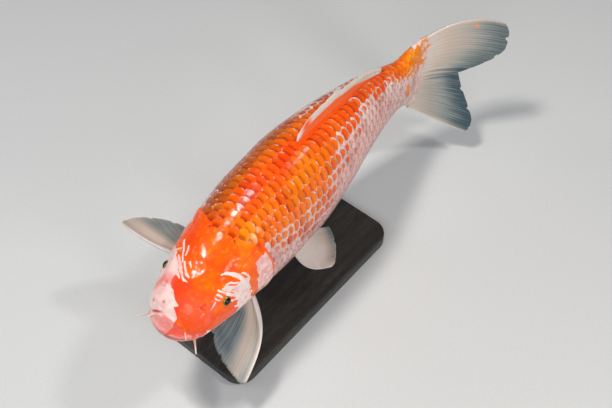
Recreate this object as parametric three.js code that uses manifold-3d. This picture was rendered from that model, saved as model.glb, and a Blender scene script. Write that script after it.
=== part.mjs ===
// Koi carp, life size, swimming with its snout raised and its tail sweeping to its left, held over
// a flat base by two rods. Millimetres, +Z up. The snout points to -X, so the fish's right is +Y.
// The origin is the centre of the underside of the base.
//
// The fish is described straight, in its own coordinates: x is the distance behind the tip of the
// snout, y is to its right and z is above its spine. bend() then puts it in its pose.
import * as THREE from 'three';
import { mergeVertices } from 'three/addons/utils/BufferGeometryUtils.js';
import Module from 'manifold-3d';

const wasm = await Module();
wasm.setup();

// ---- driving dimensions ----
const CUT = 0.3; // thin cut between neighbouring parts
const SIDES = 32; // facets round the body
const PLUMPNESS = { across: 0.96, upward: 0.97 }; // below 1 the cross-sections are fuller than ellipses

// Pose: [distance behind the snout, degrees]
const HEADING = [[60, 10], [200, 3], [330, 3], [420, 0], [520, -21], [610, -62]]; // + turns the tail right
const SLOPE = [[60, 4], [250, -3], [420, 6], [520, 15], [610, 8]]; // + drops the tail
const LEAN = [[80, -8], [300, -9], [495, 8], [610, 15]]; // + leans the back to the right
const SPINE_HEIGHT = 168; // of the spine over the floor, above the origin
const SPINE_ANCHOR = 215; // distance behind the snout of the point above the origin

// Body: [distance behind the snout, height above the spine, depth below it, half width]
const GIRTH = [
  [0, 26, 17, 30],
  [20, 33, 25, 35],
  [40, 42, 34, 40.5],
  [56, 49, 41, 44.5],
  [80, 61, 50, 49],
  [110, 74, 58, 52.5],
  [135, 82, 63, 54.5],
  [180, 91, 68, 57.5],
  [235, 94, 71, 57.5],
  [300, 85, 67, 50],
  [360, 67, 57, 38.5],
  [420, 47, 44, 26],
  [460, 37.5, 37, 17],
  [478, 49, 37.5, 12.2],
  [488, 55, 39, 8.5],
  [500, 59.5, 44, 4],
];
const NOSE_LENGTH = 26; // stretch over which the snout rounds off to its tip
const MOUTH_DROP = 6; // of the tip of the snout below the spine
const DROP_LENGTH = 60; // stretch over which that drop runs out
const NAPE = 104; // where the head ends on the back
const THROAT = 92; // where it ends under the body
const GILL_REACH = 36; // how much farther back the gill covers reach at mid height
const GILL_POINT = 1.5; // above 1 that reach is kept to the middle of the flank
const TRUNK_CUTS = [215, 335]; // cuts between the parts of the trunk
const STALK_START = 425; // front of the tail stalk
const STALK_END = 497; // its rear end, at the root of the tail fin
const FIN_GAP = 0.45; // between a fin and the skin over which it stands

// Gill cover: degrees round the body from its upper to its lower end, and millimetres. Its front edge
// is an arc, which leaves a share of the length at the two ends.
const COVER = { from: 50, to: 152, length: 44, proud: 0.8, depth: 2.6, slit: 1, endShare: 0.16, arc: 0.6 };
const COVER_GIRTH = 55; // radius of the body there
const COVER_HEADROOM = 4; // how far the pocket for the cover is cut out over it
const EYE = { x: 56, angle: 62, radius: 7, proud: 2.6 };
const SNOUT_AT = 8; // distance behind the tip at which the front of the snout is measured
const LIP = { halfWidth: 25, upperRadius: 4, lowerRadius: 3.2, cornerRadius: 2, turn: 80, sink: 0.4 };
const BARBELS = {
  corner_barbel: {
    root: [17, 27, -11], reach: { right: [-7, 16, -13], left: [-9, 10, -13] },
    sag: 2, rootRadius: 1.6, tipRadius: 0.7,
  },
  lip_barbel: {
    root: [9, 18, 4.5], reach: { right: [-6, 7, -3], left: [-6, 7, -3] },
    sag: -1, rootRadius: 1.2, tipRadius: 0.6,
  },
};
const ROD_RADIUS = 4;
const ROD_AT = [150, 290]; // distances behind the snout
const ROD_INSERT = 10; // depth of the rods in the body and in the base
const FIN_SINK = 2; // depth under the skin at which the fins start before they are trimmed
const FIN_EDGE = 0.9; // thickness of the fins at their outer edge
const BASE = { length: 300, width: 140, thickness: 16, corner: 24, bevel: 1.5 };

const PALETTE = {
  orange: { color: '#f2600c', roughness: 0.35, metalness: 0 },
  cheek: { color: '#f4c8b8', roughness: 0.35, metalness: 0 },
  lip: { color: '#f07c6c', roughness: 0.35, metalness: 0 },
  fin: { color: '#e9e2d6', roughness: 0.4, metalness: 0 },
  barbel: { color: '#f3c3ae', roughness: 0.4, metalness: 0 },
  eye: { color: '#15120c', roughness: 0.08, metalness: 0 },
  base: { color: '#2c2b2a', roughness: 0.55, metalness: 0 },
  rod: { color: '#b9bbbd', roughness: 0.3, metalness: 1 },
};

// ---- small tools ----
const radians = THREE.MathUtils.degToRad;
const power = (value, exponent) => Math.sign(value) * Math.abs(value) ** exponent;
const blend = THREE.MathUtils.lerp;
const point = (x, y, z) => new THREE.Vector3(x, y, z);

// Smooth curve through rows that start with x; it never overshoots the given column.
function curve(rows, column = 1) {
  const x = rows.map((row) => row[0]);
  const y = rows.map((row) => row[column]);
  const rise = x.slice(1).map((next, i) => (y[i + 1] - y[i]) / (next - x[i]));
  const slope = y.map((_, i) => {
    if (i === 0 || i === y.length - 1 || rise[i - 1] * rise[i] <= 0) return 0;
    return (2 * rise[i - 1] * rise[i]) / (rise[i - 1] + rise[i]);
  });
  return (at) => {
    if (at <= x[0]) return y[0];
    if (at >= x[x.length - 1]) return y[y.length - 1];
    const i = x.findIndex((next) => next > at) - 1;
    const h = x[i + 1] - x[i];
    const t = (at - x[i]) / h;
    const start = (1 + 2 * t) * (1 - t) ** 2 * y[i] + h * t * (1 - t) ** 2 * slope[i];
    return start + t * t * (3 - 2 * t) * y[i + 1] + h * t * t * (t - 1) * slope[i + 1];
  };
}

// Geometry from shared points and triangles, with its faces turned outwards.
function geometryOf(points, faces) {
  let volume = 0;
  for (const [a, b, c] of faces) {
    volume += points[a].dot(points[b].clone().cross(points[c]));
  }
  const outward = volume > 0 ? faces : faces.map(([a, b, c]) => [a, c, b]);
  const geometry = new THREE.BufferGeometry().setFromPoints(points);
  geometry.setIndex(outward.flat());
  return geometry;
}

// Closed body over rings of points, closed at each end on the given point.
function loft(rings, first, last) {
  const count = rings[0].length;
  const points = [first, ...rings.flat(), last];
  const end = points.length - 1;
  const faces = [];
  for (let i = 0; i < count; i++) {
    const next = (i + 1) % count;
    faces.push([0, 1 + next, 1 + i]);
    for (let r = 0; r < rings.length - 1; r++) {
      const here = 1 + r * count;
      faces.push([here + i, here + next, here + count + i]);
      faces.push([here + next, here + count + next, here + count + i]);
    }
    const lastRing = end - count;
    faces.push([lastRing + i, lastRing + next, end]);
  }
  return geometryOf(points, faces);
}

// Closed shell between two grids of points of the same size, one lying over the other.
function shell(over, under) {
  const rows = over.length;
  const columns = over[0].length;
  const points = [...over.flat(), ...under.flat()];
  const below = rows * columns;
  const faces = [];
  for (let i = 0; i < rows - 1; i++) {
    for (let j = 0; j < columns - 1; j++) {
      const a = i * columns + j;
      const c = a + columns;
      faces.push([a, c, a + 1], [a + 1, c, c + 1]);
      faces.push([below + a, below + a + 1, below + c], [below + a + 1, below + c + 1, below + c]);
    }
  }
  const rim = [];
  for (let j = 0; j < columns - 1; j++) rim.push(j);
  for (let i = 0; i < rows - 1; i++) rim.push(i * columns + columns - 1);
  for (let j = columns - 1; j > 0; j--) rim.push((rows - 1) * columns + j);
  for (let i = rows - 1; i > 0; i--) rim.push(i * columns);
  rim.forEach((a, k) => {
    const b = rim[(k + 1) % rim.length];
    faces.push([a, b, below + a], [b, below + b, below + a]);
  });
  return geometryOf(points, faces);
}

function toManifold(geometry) {
  const bare = geometry.clone();
  bare.deleteAttribute('normal');
  bare.deleteAttribute('uv');
  const merged = mergeVertices(bare);
  const vertProperties = new Float32Array(merged.attributes.position.array);
  const triVerts = new Uint32Array(merged.index.array);
  return new wasm.Manifold(new wasm.Mesh({ numProp: 3, vertProperties, triVerts }));
}

function subtract(geometry, ...cutters) {
  let body = toManifold(geometry);
  for (const cutter of cutters) body = body.subtract(toManifold(cutter));
  const mesh = body.getMesh();
  const result = new THREE.BufferGeometry();
  result.setAttribute('position', new THREE.BufferAttribute(mesh.vertProperties, 3));
  result.setIndex(new THREE.BufferAttribute(mesh.triVerts, 1));
  return result;
}

// ---- pose ----
const heading = curve(HEADING);
const slope = curve(SLOPE);
const lean = curve(LEAN);

// Directions at a distance behind the snout: back along the spine, right and up.
function spineFrame(x) {
  const turn = radians(heading(x));
  const dip = radians(slope(x));
  const roll = radians(lean(x));
  const back = point(Math.cos(turn) * Math.cos(dip), Math.sin(turn) * Math.cos(dip), -Math.sin(dip));
  const level = point(-Math.sin(turn), Math.cos(turn), 0);
  const upright = back.clone().cross(level);
  const right = level.clone().multiplyScalar(Math.cos(roll)).addScaledVector(upright, -Math.sin(roll));
  const up = upright.multiplyScalar(Math.cos(roll)).addScaledVector(level, Math.sin(roll));
  return { back, right, up };
}

// Where the spine runs: its points at every SPINE_STEP, moved so that the anchor is above the origin.
const SPINE_STEP = 2;
const SPINE_START = -40;
const SPINE_COUNT = 350;
const spine = [point(0, 0, 0)];
for (let i = 1; i < SPINE_COUNT; i++) {
  const middle = SPINE_START + (i - 0.5) * SPINE_STEP;
  spine.push(spine[i - 1].clone().addScaledVector(spineFrame(middle).back, SPINE_STEP));
}
function alongSpine(x) {
  const place = (x - SPINE_START) / SPINE_STEP;
  const i = Math.min(Math.max(Math.floor(place), 0), SPINE_COUNT - 2);
  return spine[i].clone().lerp(spine[i + 1], place - i);
}
const spineShift = point(0, 0, SPINE_HEIGHT).sub(alongSpine(SPINE_ANCHOR));

// A point of the straight fish in its pose.
function bend(p) {
  const { right, up } = spineFrame(p.x);
  return alongSpine(p.x).add(spineShift).addScaledVector(right, p.y).addScaledVector(up, p.z);
}

// ---- surface of the body ----
const height = curve(GIRTH, 1);
const depth = curve(GIRTH, 2);
const halfWidth = curve(GIRTH, 3);

function centreLine(x) {
  return x < DROP_LENGTH ? -MOUTH_DROP * (1 - x / DROP_LENGTH) ** 2 : 0;
}

// Point of the straight skin. The angle runs from the back over the right flank to the belly.
function skin(x, angle) {
  const round = x < NOSE_LENGTH ? Math.sqrt(1 - (1 - Math.max(x, 0) / NOSE_LENGTH) ** 2) : 1;
  const across = power(Math.sin(angle), PLUMPNESS.across);
  const upward = power(Math.cos(angle), PLUMPNESS.upward);
  const tall = upward > 0 ? height(x) : depth(x);
  return point(x, halfWidth(x) * round * across, centreLine(x) + tall * round * upward);
}

// The same point moved out of the skin by a height.
function overSkin(x, angle, lift) {
  const along = skin(x + 1, angle).sub(skin(x - 1, angle));
  const round = skin(x, angle + 0.01).sub(skin(x, angle - 0.01));
  return skin(x, angle).addScaledVector(along.cross(round).normalize(), lift);
}

// Rear edge of the head: the gill covers reach farther back than the nape and the throat.
function gillLine(angle) {
  const fold = Math.abs(angle > Math.PI ? angle - 2 * Math.PI : angle);
  return blend(NAPE, THROAT, fold / Math.PI) + GILL_REACH * Math.sin(fold) ** GILL_POINT;
}

// Part of the body between two edges, each given as a distance behind the snout for an angle.
// A lift above 0 gives the same part grown out of the skin.
function bodyPart(front, rear, rings, spacing = 1, lift = 0) {
  const grid = [];
  for (let r = spacing === 1 ? 0 : 1; r <= rings; r++) {
    const share = (r / rings) ** spacing;
    const ring = [];
    for (let i = 0; i < SIDES; i++) {
      const angle = (i / SIDES) * 2 * Math.PI;
      const x = blend(front(angle), rear(angle), share);
      ring.push(bend(lift > 0 ? overSkin(x, angle, lift) : skin(x, angle)));
    }
    grid.push(ring);
  }
  const middleOf = (edge) => bend(point((edge(0) + edge(Math.PI / 2)) / 2, 0, 0));
  const first = spacing === 1 ? middleOf(front) : bend(skin(0, 0));
  return loft(grid, first, middleOf(rear));
}
const straight = (x) => () => x;

// Plate that lies in the skin, such as a gill cover: place(u, v) gives x and angle over it.
function skinPlate(place, rows, columns, top, bottom) {
  const grid = (lift) => Array.from({ length: rows + 1 }, (_, i) =>
    Array.from({ length: columns + 1 }, (_unused, j) => {
      const [x, angle] = place(i / rows, j / columns);
      return bend(overSkin(x, angle, lift));
    }));
  return shell(grid(top), grid(bottom));
}

// Gill cover of one side (+1 right, -1 left), grown by a margin all round.
function gillCover(side, margin) {
  const grow = margin / COVER_GIRTH;
  const place = (u, v) => {
    const angle = radians(blend(COVER.from, COVER.to, u)) + (u - 0.5) * 2 * grow;
    const rear = gillLine(angle) + (margin > 0 ? 2 * margin : -COVER.slit);
    const reach = COVER.length * Math.max(COVER.endShare, Math.sin(Math.PI * u) ** COVER.arc);
    return [blend(gillLine(angle) - reach - margin, rear, v), side * angle];
  };
  const top = margin > 0 ? COVER.proud + COVER_HEADROOM : COVER.proud;
  return skinPlate(place, 10, 4, top, -COVER.depth - margin);
}

// Ball in the skin, for an eye or its socket.
function eyeBall(side, radius) {
  const centre = bend(overSkin(EYE.x, side * radians(EYE.angle), EYE.proud - EYE.radius));
  return new THREE.SphereGeometry(radius, 14, 8).translate(centre.x, centre.y, centre.z);
}

// Round tube through the given centres and radii, closed on a point at each end.
const TUBE_SEAM = point(0.31, 0.2, 0.93); // a direction that no tube runs along
const TUBE_END = 0.7; // length of the point over the last radius
function roundTube(centres, radii, sides) {
  const rings = centres.map((centre, i) => {
    const before = centres[Math.max(i - 1, 0)];
    const after = centres[Math.min(i + 1, centres.length - 1)];
    const along = after.clone().sub(before).normalize();
    const first = along.clone().cross(TUBE_SEAM).normalize();
    const second = along.clone().cross(first);
    return Array.from({ length: sides }, (_, k) => {
      const turn = (k / sides) * 2 * Math.PI;
      return centre.clone()
        .addScaledVector(first, radii[i] * Math.cos(turn))
        .addScaledVector(second, radii[i] * Math.sin(turn));
    });
  });
  const endOf = (i, j) => centres[i].clone().sub(centres[j]).setLength(radii[i] * TUBE_END).add(centres[i]);
  const last = centres.length - 1;
  return loft(rings, endOf(0, 1), endOf(last, last - 1));
}

// Point on the rounded front of the snout, from its place to the right and above the mouth.
function snoutPoint(y, z, lift) {
  const tall = z > 0 ? height(SNOUT_AT) : depth(SNOUT_AT);
  const share = Math.min(Math.hypot(y / halfWidth(SNOUT_AT), z / tall), 1);
  const x = NOSE_LENGTH * (1 - Math.sqrt(1 - share * share));
  return bend(point(x - lift, y, centreLine(x) + z));
}

// Lip: a band that follows the mouth from corner to corner, on its upper (+1) or lower (-1) side.
function lip(side, middleRadius, grow) {
  const steps = 10;
  const centres = [];
  const radii = [];
  for (let i = 0; i <= steps; i++) {
    const turn = blend(-LIP.turn, LIP.turn, i / steps);
    const swell = Math.cos(radians(turn));
    const radius = blend(LIP.cornerRadius, middleRadius, swell);
    centres.push(snoutPoint(LIP.halfWidth * Math.sin(radians(turn)), side * (radius + CUT), -LIP.sink));
    radii.push(radius + grow);
  }
  return roundTube(centres, radii, 8);
}

// Barbel from its root on the snout along a curve to its tip, grown by a margin.
function feeler(barbel, side, margin) {
  const root = point(barbel.root[0], side * barbel.root[1], barbel.root[2]);
  const reach = barbel.reach[side > 0 ? 'right' : 'left'];
  const tip = root.clone().add(point(reach[0], side * reach[1], reach[2]));
  const steps = 5;
  const centres = [];
  const radii = [];
  for (let i = 0; i <= steps; i++) {
    const share = i / steps;
    const centre = root.clone().lerp(tip, share);
    centre.z -= barbel.sag * Math.sin(Math.PI * share);
    centres.push(bend(centre));
    radii.push(blend(barbel.rootRadius, barbel.tipRadius, share) + margin);
  }
  return roundTube(centres, radii, 6);
}

// ---- fins ----
// The body grown by the gap, to trim the roots of the fins, which start inside it.
const trimmingBody = bodyPart(straight(60), straight(STALK_END + FIN_GAP), 40, 1, FIN_GAP);

// Thin plate whose middle surface is place(u, v) on the straight fish: u runs along the root and
// v from the root to the edge. Its thickness falls from the root to the edge.
function finPlate(place, rows, columns, rootThickness, edgeThickness) {
  const middle = Array.from({ length: rows + 1 }, (_, i) =>
    Array.from({ length: columns + 1 }, (_unused, j) => bend(place(i / rows, j / columns))));
  const offset = (side) => middle.map((line, i) => line.map((p, j) => {
    const alongRoot = middle[Math.min(i + 1, rows)][j].clone().sub(middle[Math.max(i - 1, 0)][j]);
    const outward = line[Math.min(j + 1, columns)].clone().sub(line[Math.max(j - 1, 0)]);
    const normal = alongRoot.cross(outward).normalize();
    const half = blend(rootThickness, edgeThickness, Math.sqrt(j / columns)) / 2;
    return p.clone().addScaledVector(normal, side * half);
  }));
  return shell(offset(1), offset(-1));
}

// Paired fin, spread like a fan: its rays start along the root and turn from lead to trail.
function fanFin(fin, side) {
  const length = curve(fin.length);
  const mirror = (v) => point(v[0], side * v[1], v[2]);
  const lead = mirror(fin.lead).normalize();
  const trail = mirror(fin.trail).normalize();
  const bow = mirror(fin.bow);
  const root = overSkin(fin.x, side * radians(fin.angle), -FIN_SINK);
  const base = mirror(fin.base);
  return finPlate((u, v) => {
    const ray = lead.clone().lerp(trail, u).normalize().multiplyScalar(length(u) * v);
    const swing = Math.sin(Math.PI * Math.min(v, 1)) * (1 - u);
    return root.clone().addScaledVector(base, u - 0.5).add(ray).addScaledVector(bow, swing);
  }, 10, 5, fin.thickness, FIN_EDGE);
}

const PECTORAL_LEFT = {
  x: 121, angle: 142, base: [-14, -5, -4], thickness: 3,
  lead: [-0.73, 0.46, -0.5], trail: [-0.89, -0.21, -0.4], bow: [7, 14, 11],
  length: [[0, 113], [0.25, 96], [0.55, 75], [0.85, 56], [1, 54]],
};
const PECTORAL_RIGHT = {
  x: 121, angle: 142, base: [14, -5, -4], thickness: 3,
  lead: [-0.16, 0.96, 0.16], trail: [0.42, 0.9, -0.16], bow: [-8, 0, 6],
  length: [[0, 100], [0.25, 94], [0.55, 78], [0.85, 60], [1, 50]],
};
const PELVIC = {
  x: 216, angle: 150, base: [15, -1, 0], thickness: 2.6,
  lead: [0.26, 0.94, -0.22], trail: [0.79, 0.26, -0.55], bow: [-16.5, 6.4, 0.9],
  length: [[0, 63], [0.33, 63.4], [0.66, 66.8], [1, 69.6]],
};

// Back fin, folded low and leaning to the right.
const BACK_FIN = {
  from: 240, to: 424, sweep: 0.9, thickness: 2.4,
  height: [[0, 7], [0.1, 11], [0.4, 12], [0.5, 9.5], [0.6, 8.5], [0.75, 8], [0.9, 6], [1, 3]],
  lean: [[0, 35], [0.3, 50], [1, 60]],
};
function backFin() {
  const tall = curve(BACK_FIN.height);
  const tilt = curve(BACK_FIN.lean);
  return finPlate((u, v) => {
    const x = blend(BACK_FIN.from, BACK_FIN.to, u);
    const root = overSkin(x, 0, -FIN_SINK);
    const rise = (tall(u) + FIN_SINK) * v;
    const angle = radians(tilt(u));
    return root.add(point(BACK_FIN.sweep * rise, Math.sin(angle) * rise, Math.cos(angle) * rise));
  }, 16, 3, BACK_FIN.thickness, FIN_EDGE);
}

// Anal fin, under the body ahead of the tail stalk.
const ANAL_FIN = { from: 374, to: 410, length: [[0, 52], [0.3, 50], [1, 32]], thickness: 2.4 };
function analFin() {
  const length = curve(ANAL_FIN.length);
  return finPlate((u, v) => {
    const x = blend(ANAL_FIN.from, ANAL_FIN.to, u);
    const root = overSkin(x, Math.PI, -FIN_SINK);
    const reach = length(u) * v;
    return root.add(point((0.75 + 0.15 * u) * reach, 0.2 * reach, -0.6 * reach));
  }, 8, 5, ANAL_FIN.thickness, FIN_EDGE);
}

// Tail fin: two lobes of rays that fan out from the end of the stalk round a fork. Their outer edge:
// [share of the root from the fork, distance behind the snout, height from the fork].
const TAIL = { thickness: 5, halfGap: 0.65, wave: 3, bulgeTowardsEdge: 1.5 };
const UPPER_LOBE = {
  side: 1, rootHalf: 57, bulge: 6.5,
  edge: [
    [0, 568, 0], [0.15, 582, 9], [0.3, 597, 21], [0.45, 610, 35],
    [0.6, 617, 50], [0.75, 616.5, 63], [0.88, 613.5, 75], [1, 606, 85],
  ],
};
const LOWER_LOBE = {
  side: -1, rootHalf: 46, bulge: 5.3,
  edge: [
    [0, 567.5, 0], [0.2, 575, 16], [0.4, 586, 35], [0.6, 597, 53],
    [0.8, 606, 71], [0.92, 606.5, 83], [1, 601, 90],
  ],
};
function tailLobe({ side, rootHalf, bulge, edge }) {
  const edgeX = curve(edge, 1);
  const edgeZ = curve(edge, 2);
  return finPlate((u, v) => {
    const rootX = STALK_END - FIN_SINK;
    const swell = bulge * u * u * Math.sin(Math.PI * v ** TAIL.bulgeTowardsEdge);
    const rise = blend(rootHalf * u, edgeZ(u), v) + swell + TAIL.halfGap;
    const wave = TAIL.wave * Math.sin(2.4 * u + 0.6) * v * v;
    return point(blend(rootX, edgeX(u), v), wave, side * rise);
  }, 10, 7, TAIL.thickness, FIN_EDGE);
}

// ---- stand ----
const rodPlaces = ROD_AT.map((x) => bend(point(x, 0, 0)));

// Vertical rod from a depth in the base to a depth in the belly, grown by a margin.
function rod(i, margin) {
  const belly = bend(skin(ROD_AT[i], Math.PI)).z + ROD_INSERT + margin;
  const foot = BASE.thickness - ROD_INSERT - margin;
  const geometry = new THREE.CylinderGeometry(ROD_RADIUS + margin, ROD_RADIUS + margin, belly - foot, 20);
  geometry.rotateX(Math.PI / 2);
  return geometry.translate(rodPlaces[i].x, rodPlaces[i].y, (belly + foot) / 2);
}

function basePlate() {
  const { length, width, thickness, corner, bevel } = BASE;
  const a = length / 2 - bevel;
  const b = width / 2 - bevel;
  const r = corner - bevel;
  const outline = new THREE.Shape();
  outline.absarc(a - r, b - r, r, 0, Math.PI / 2);
  outline.absarc(-a + r, b - r, r, Math.PI / 2, Math.PI);
  outline.absarc(-a + r, -b + r, r, Math.PI, 1.5 * Math.PI);
  outline.absarc(a - r, -b + r, r, 1.5 * Math.PI, 2 * Math.PI);
  outline.closePath();
  const geometry = new THREE.ExtrudeGeometry(outline, {
    depth: thickness - 2 * bevel, bevelEnabled: true, bevelSize: bevel, bevelThickness: bevel,
    bevelSegments: 1, curveSegments: 4,
  });
  return geometry.translate(0, 0, bevel);
}

// ---- assembly ----
const koi = new THREE.Group();

function add(name, geometry, finish) {
  geometry.computeVertexNormals();
  const mesh = new THREE.Mesh(geometry, new THREE.MeshStandardMaterial(PALETTE[finish]));
  mesh.name = name;
  koi.add(mesh);
}

const SIDE_NAMES = [['right', 1], ['left', -1]];
const barbelRoots = Object.values(BARBELS).flatMap((barbel) =>
  SIDE_NAMES.map(([, side]) => feeler(barbel, side, CUT)));
const headCutters = [
  lip(1, LIP.upperRadius, CUT),
  lip(-1, LIP.lowerRadius, CUT),
  ...barbelRoots,
  ...SIDE_NAMES.flatMap(([, side]) => [gillCover(side, CUT), eyeBall(side, EYE.radius + CUT)]),
];
const HEAD_RINGS = 14;
const SNOUT_CROWDING = 1.8; // above 1 the rings of the head stand closer together towards the snout
add('head', subtract(bodyPart(straight(0), gillLine, HEAD_RINGS, SNOUT_CROWDING), ...headCutters), 'orange');
add('upper_lip', subtract(lip(1, LIP.upperRadius, 0), ...barbelRoots), 'lip');
add('lower_lip', subtract(lip(-1, LIP.lowerRadius, 0), ...barbelRoots), 'lip');
for (const [name, side] of SIDE_NAMES) {
  add(`gill_cover_${name}`, gillCover(side, 0), 'cheek');
  add(`eye_${name}`, eyeBall(side, EYE.radius), 'eye');
}

const TRUNK_RINGS = 6;
const trunkNames = ['trunk_front', 'trunk_middle', 'trunk_rear'];
const trunkEdges = [(angle) => gillLine(angle) + CUT, ...TRUNK_CUTS.map(straight), straight(STALK_START)];
trunkNames.forEach((name, i) => {
  const front = i === 0 ? trunkEdges[0] : straight(TRUNK_CUTS[i - 1] + CUT);
  let geometry = bodyPart(front, trunkEdges[i + 1], TRUNK_RINGS);
  ROD_AT.forEach((x, k) => {
    if (x > front(Math.PI) && x < trunkEdges[i + 1](0)) geometry = subtract(geometry, rod(k, CUT));
  });
  add(name, geometry, 'orange');
});
add('tail_stalk', bodyPart(straight(STALK_START + CUT), straight(STALK_END), TRUNK_RINGS), 'orange');

add('back_fin', subtract(backFin(), trimmingBody), 'fin');
add('anal_fin', subtract(analFin(), trimmingBody), 'fin');
add('tail_fin_upper', subtract(tailLobe(UPPER_LOBE), trimmingBody), 'fin');
add('tail_fin_lower', subtract(tailLobe(LOWER_LOBE), trimmingBody), 'fin');
for (const [name, side] of SIDE_NAMES) {
  const pectoral = fanFin(side > 0 ? PECTORAL_RIGHT : PECTORAL_LEFT, side);
  add(`pectoral_fin_${name}`, subtract(pectoral, trimmingBody, gillCover(side, CUT)), 'fin');
  add(`pelvic_fin_${name}`, subtract(fanFin(PELVIC, side), trimmingBody), 'fin');
}

for (const [kind, barbel] of Object.entries(BARBELS)) {
  for (const [name, side] of SIDE_NAMES) add(`${kind}_${name}`, feeler(barbel, side, 0), 'barbel');
}

add('stand_base', subtract(basePlate(), rod(0, CUT), rod(1, CUT)), 'base');
rodPlaces.forEach((_, i) => add(`stand_rod_${i === 0 ? 'front' : 'rear'}`, rod(i, 0), 'rod'));

export default koi;
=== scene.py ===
"""Koi carp, life size, swimming with its snout raised, on a plain display stand.

The fish is described straight, in millimetres: x is the distance behind the tip of the snout, y is to
its right and z is above its spine. bend() puts it in its pose, in metres, in the frame of the model.
Places on the skin are given by x and an angle: 0 is the back, 90 the right flank, 180 the belly.
"""
import math
from functools import partial

import bpy
import numpy as np
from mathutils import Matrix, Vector


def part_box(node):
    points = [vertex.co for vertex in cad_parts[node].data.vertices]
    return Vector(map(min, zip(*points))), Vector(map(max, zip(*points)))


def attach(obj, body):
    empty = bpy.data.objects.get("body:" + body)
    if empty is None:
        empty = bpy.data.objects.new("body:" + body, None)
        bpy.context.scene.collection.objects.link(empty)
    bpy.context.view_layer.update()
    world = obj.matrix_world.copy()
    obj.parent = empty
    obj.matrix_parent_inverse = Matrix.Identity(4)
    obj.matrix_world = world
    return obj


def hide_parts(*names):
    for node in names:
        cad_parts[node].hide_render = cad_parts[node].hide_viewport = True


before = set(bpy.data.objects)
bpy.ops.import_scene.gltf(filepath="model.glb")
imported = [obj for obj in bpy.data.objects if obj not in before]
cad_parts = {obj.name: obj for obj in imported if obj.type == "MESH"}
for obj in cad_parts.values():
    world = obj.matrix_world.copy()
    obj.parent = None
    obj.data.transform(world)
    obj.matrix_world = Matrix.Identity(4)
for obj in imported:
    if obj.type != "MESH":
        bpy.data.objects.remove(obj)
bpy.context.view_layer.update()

MM = 0.001
FULL_TURN = 2 * np.pi
SIDES = ((1, "right"), (-1, "left"))  # sign of y on each side of the fish

# ---- pose: (distance behind the snout, degrees) ----
HEADING = ((60, 10), (200, 3), (330, 3), (420, 0), (520, -21), (610, -62))  # + turns the tail right
SLOPE = ((60, 4), (250, -3), (420, 6), (520, 15), (610, 8))  # + drops the tail
LEAN = ((80, -8), (300, -9), (495, 8), (610, 15))  # + leans the back to the right
SPINE_HEIGHT = 168
SPINE_ANCHOR = 215
SPINE_STEP, SPINE_START, SPINE_COUNT = 2, -40, 350

# ---- body: (distance behind the snout, height above the spine, depth below it, half width) ----
GIRTH = (
    (0, 26, 17, 30), (20, 33, 25, 35), (40, 42, 34, 40.5), (56, 49, 41, 44.5), (80, 61, 50, 49),
    (110, 74, 58, 52.5), (135, 82, 63, 54.5), (180, 91, 68, 57.5), (235, 94, 71, 57.5),
    (300, 85, 67, 50), (360, 67, 57, 38.5), (420, 47, 44, 26), (460, 37.5, 37, 17),
    (478, 49, 37.5, 12.2), (488, 55, 39, 8.5), (500, 59.5, 44, 4),
)
PLUMPNESS_ACROSS, PLUMPNESS_UPWARD = 0.96, 0.97
NOSE_LENGTH, MOUTH_DROP, DROP_LENGTH = 26, 6, 60
NAPE, THROAT, GILL_REACH, GILL_POINT = 104, 92, 36, 1.5
STALK_END = 497
SKIN_END = 508  # the skin runs out over the root of the tail fin
COAT = 1.2  # depth of the scales, by which the skin lies under the surface of the body

EYE_X, EYE_ANGLE, EYE_RADIUS, EYE_PROUD = 56, 62, 7, 2.6
FIN_SINK = 2


# ---- small tools ----
def curve(rows, column=1):
    """Smooth curve through rows that start with x; it never overshoots the given column."""
    x = np.array([row[0] for row in rows], float)
    y = np.array([row[column] for row in rows], float)
    rise = np.diff(y) / np.diff(x)
    slope = np.zeros(len(x))
    agree = rise[:-1] * rise[1:] > 0
    total = np.where(agree, rise[:-1] + rise[1:], 1)
    slope[1:-1] = np.where(agree, 2 * rise[:-1] * rise[1:] / total, 0)

    def at(value):
        value = np.clip(np.asarray(value, float), x[0], x[-1])
        i = np.clip(np.searchsorted(x, value, side="right") - 1, 0, len(x) - 2)
        h = x[i + 1] - x[i]
        t = (value - x[i]) / h
        start = (1 + 2 * t) * (1 - t) ** 2 * y[i] + h * t * (1 - t) ** 2 * slope[i]
        return start + t * t * (3 - 2 * t) * y[i + 1] + h * t * t * (t - 1) * slope[i + 1]

    return at


def ramp(value, start, end):
    """0 before start, 1 after end, smooth between; start may lie after end."""
    t = np.clip((value - start) / (end - start), 0, 1)
    return t * t * (3 - 2 * t)


def within(value, start, full, fall, end):
    """1 from full to fall and 0 outside start and end, smooth between."""
    return ramp(value, start, full) * (1 - ramp(value, fall, end))


def mix(a, b, share):
    return a + (b - a) * share


def bell(distance, width):
    return np.exp(-((distance / width) ** 2))


def power(value, exponent):
    return np.sign(value) * np.abs(value) ** exponent


def unit(vectors):
    return vectors / np.maximum(np.linalg.norm(vectors, axis=-1, keepdims=True), 1e-9)


def wander(points, size, seed):
    """Smooth random variation of about -1 to 1 that changes over the given size in millimetres."""
    random = np.random.default_rng(seed)
    total = np.zeros(points.shape[:-1])
    for _ in range(14):
        direction = unit(random.normal(size=3))
        wave = size * random.uniform(0.8, 2.2)
        total += np.sin(points @ direction * (FULL_TURN / wave) + random.uniform(0, FULL_TURN))
    return total / 4


# ---- pose ----
heading, slope, lean = curve(HEADING), curve(SLOPE), curve(LEAN)


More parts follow.
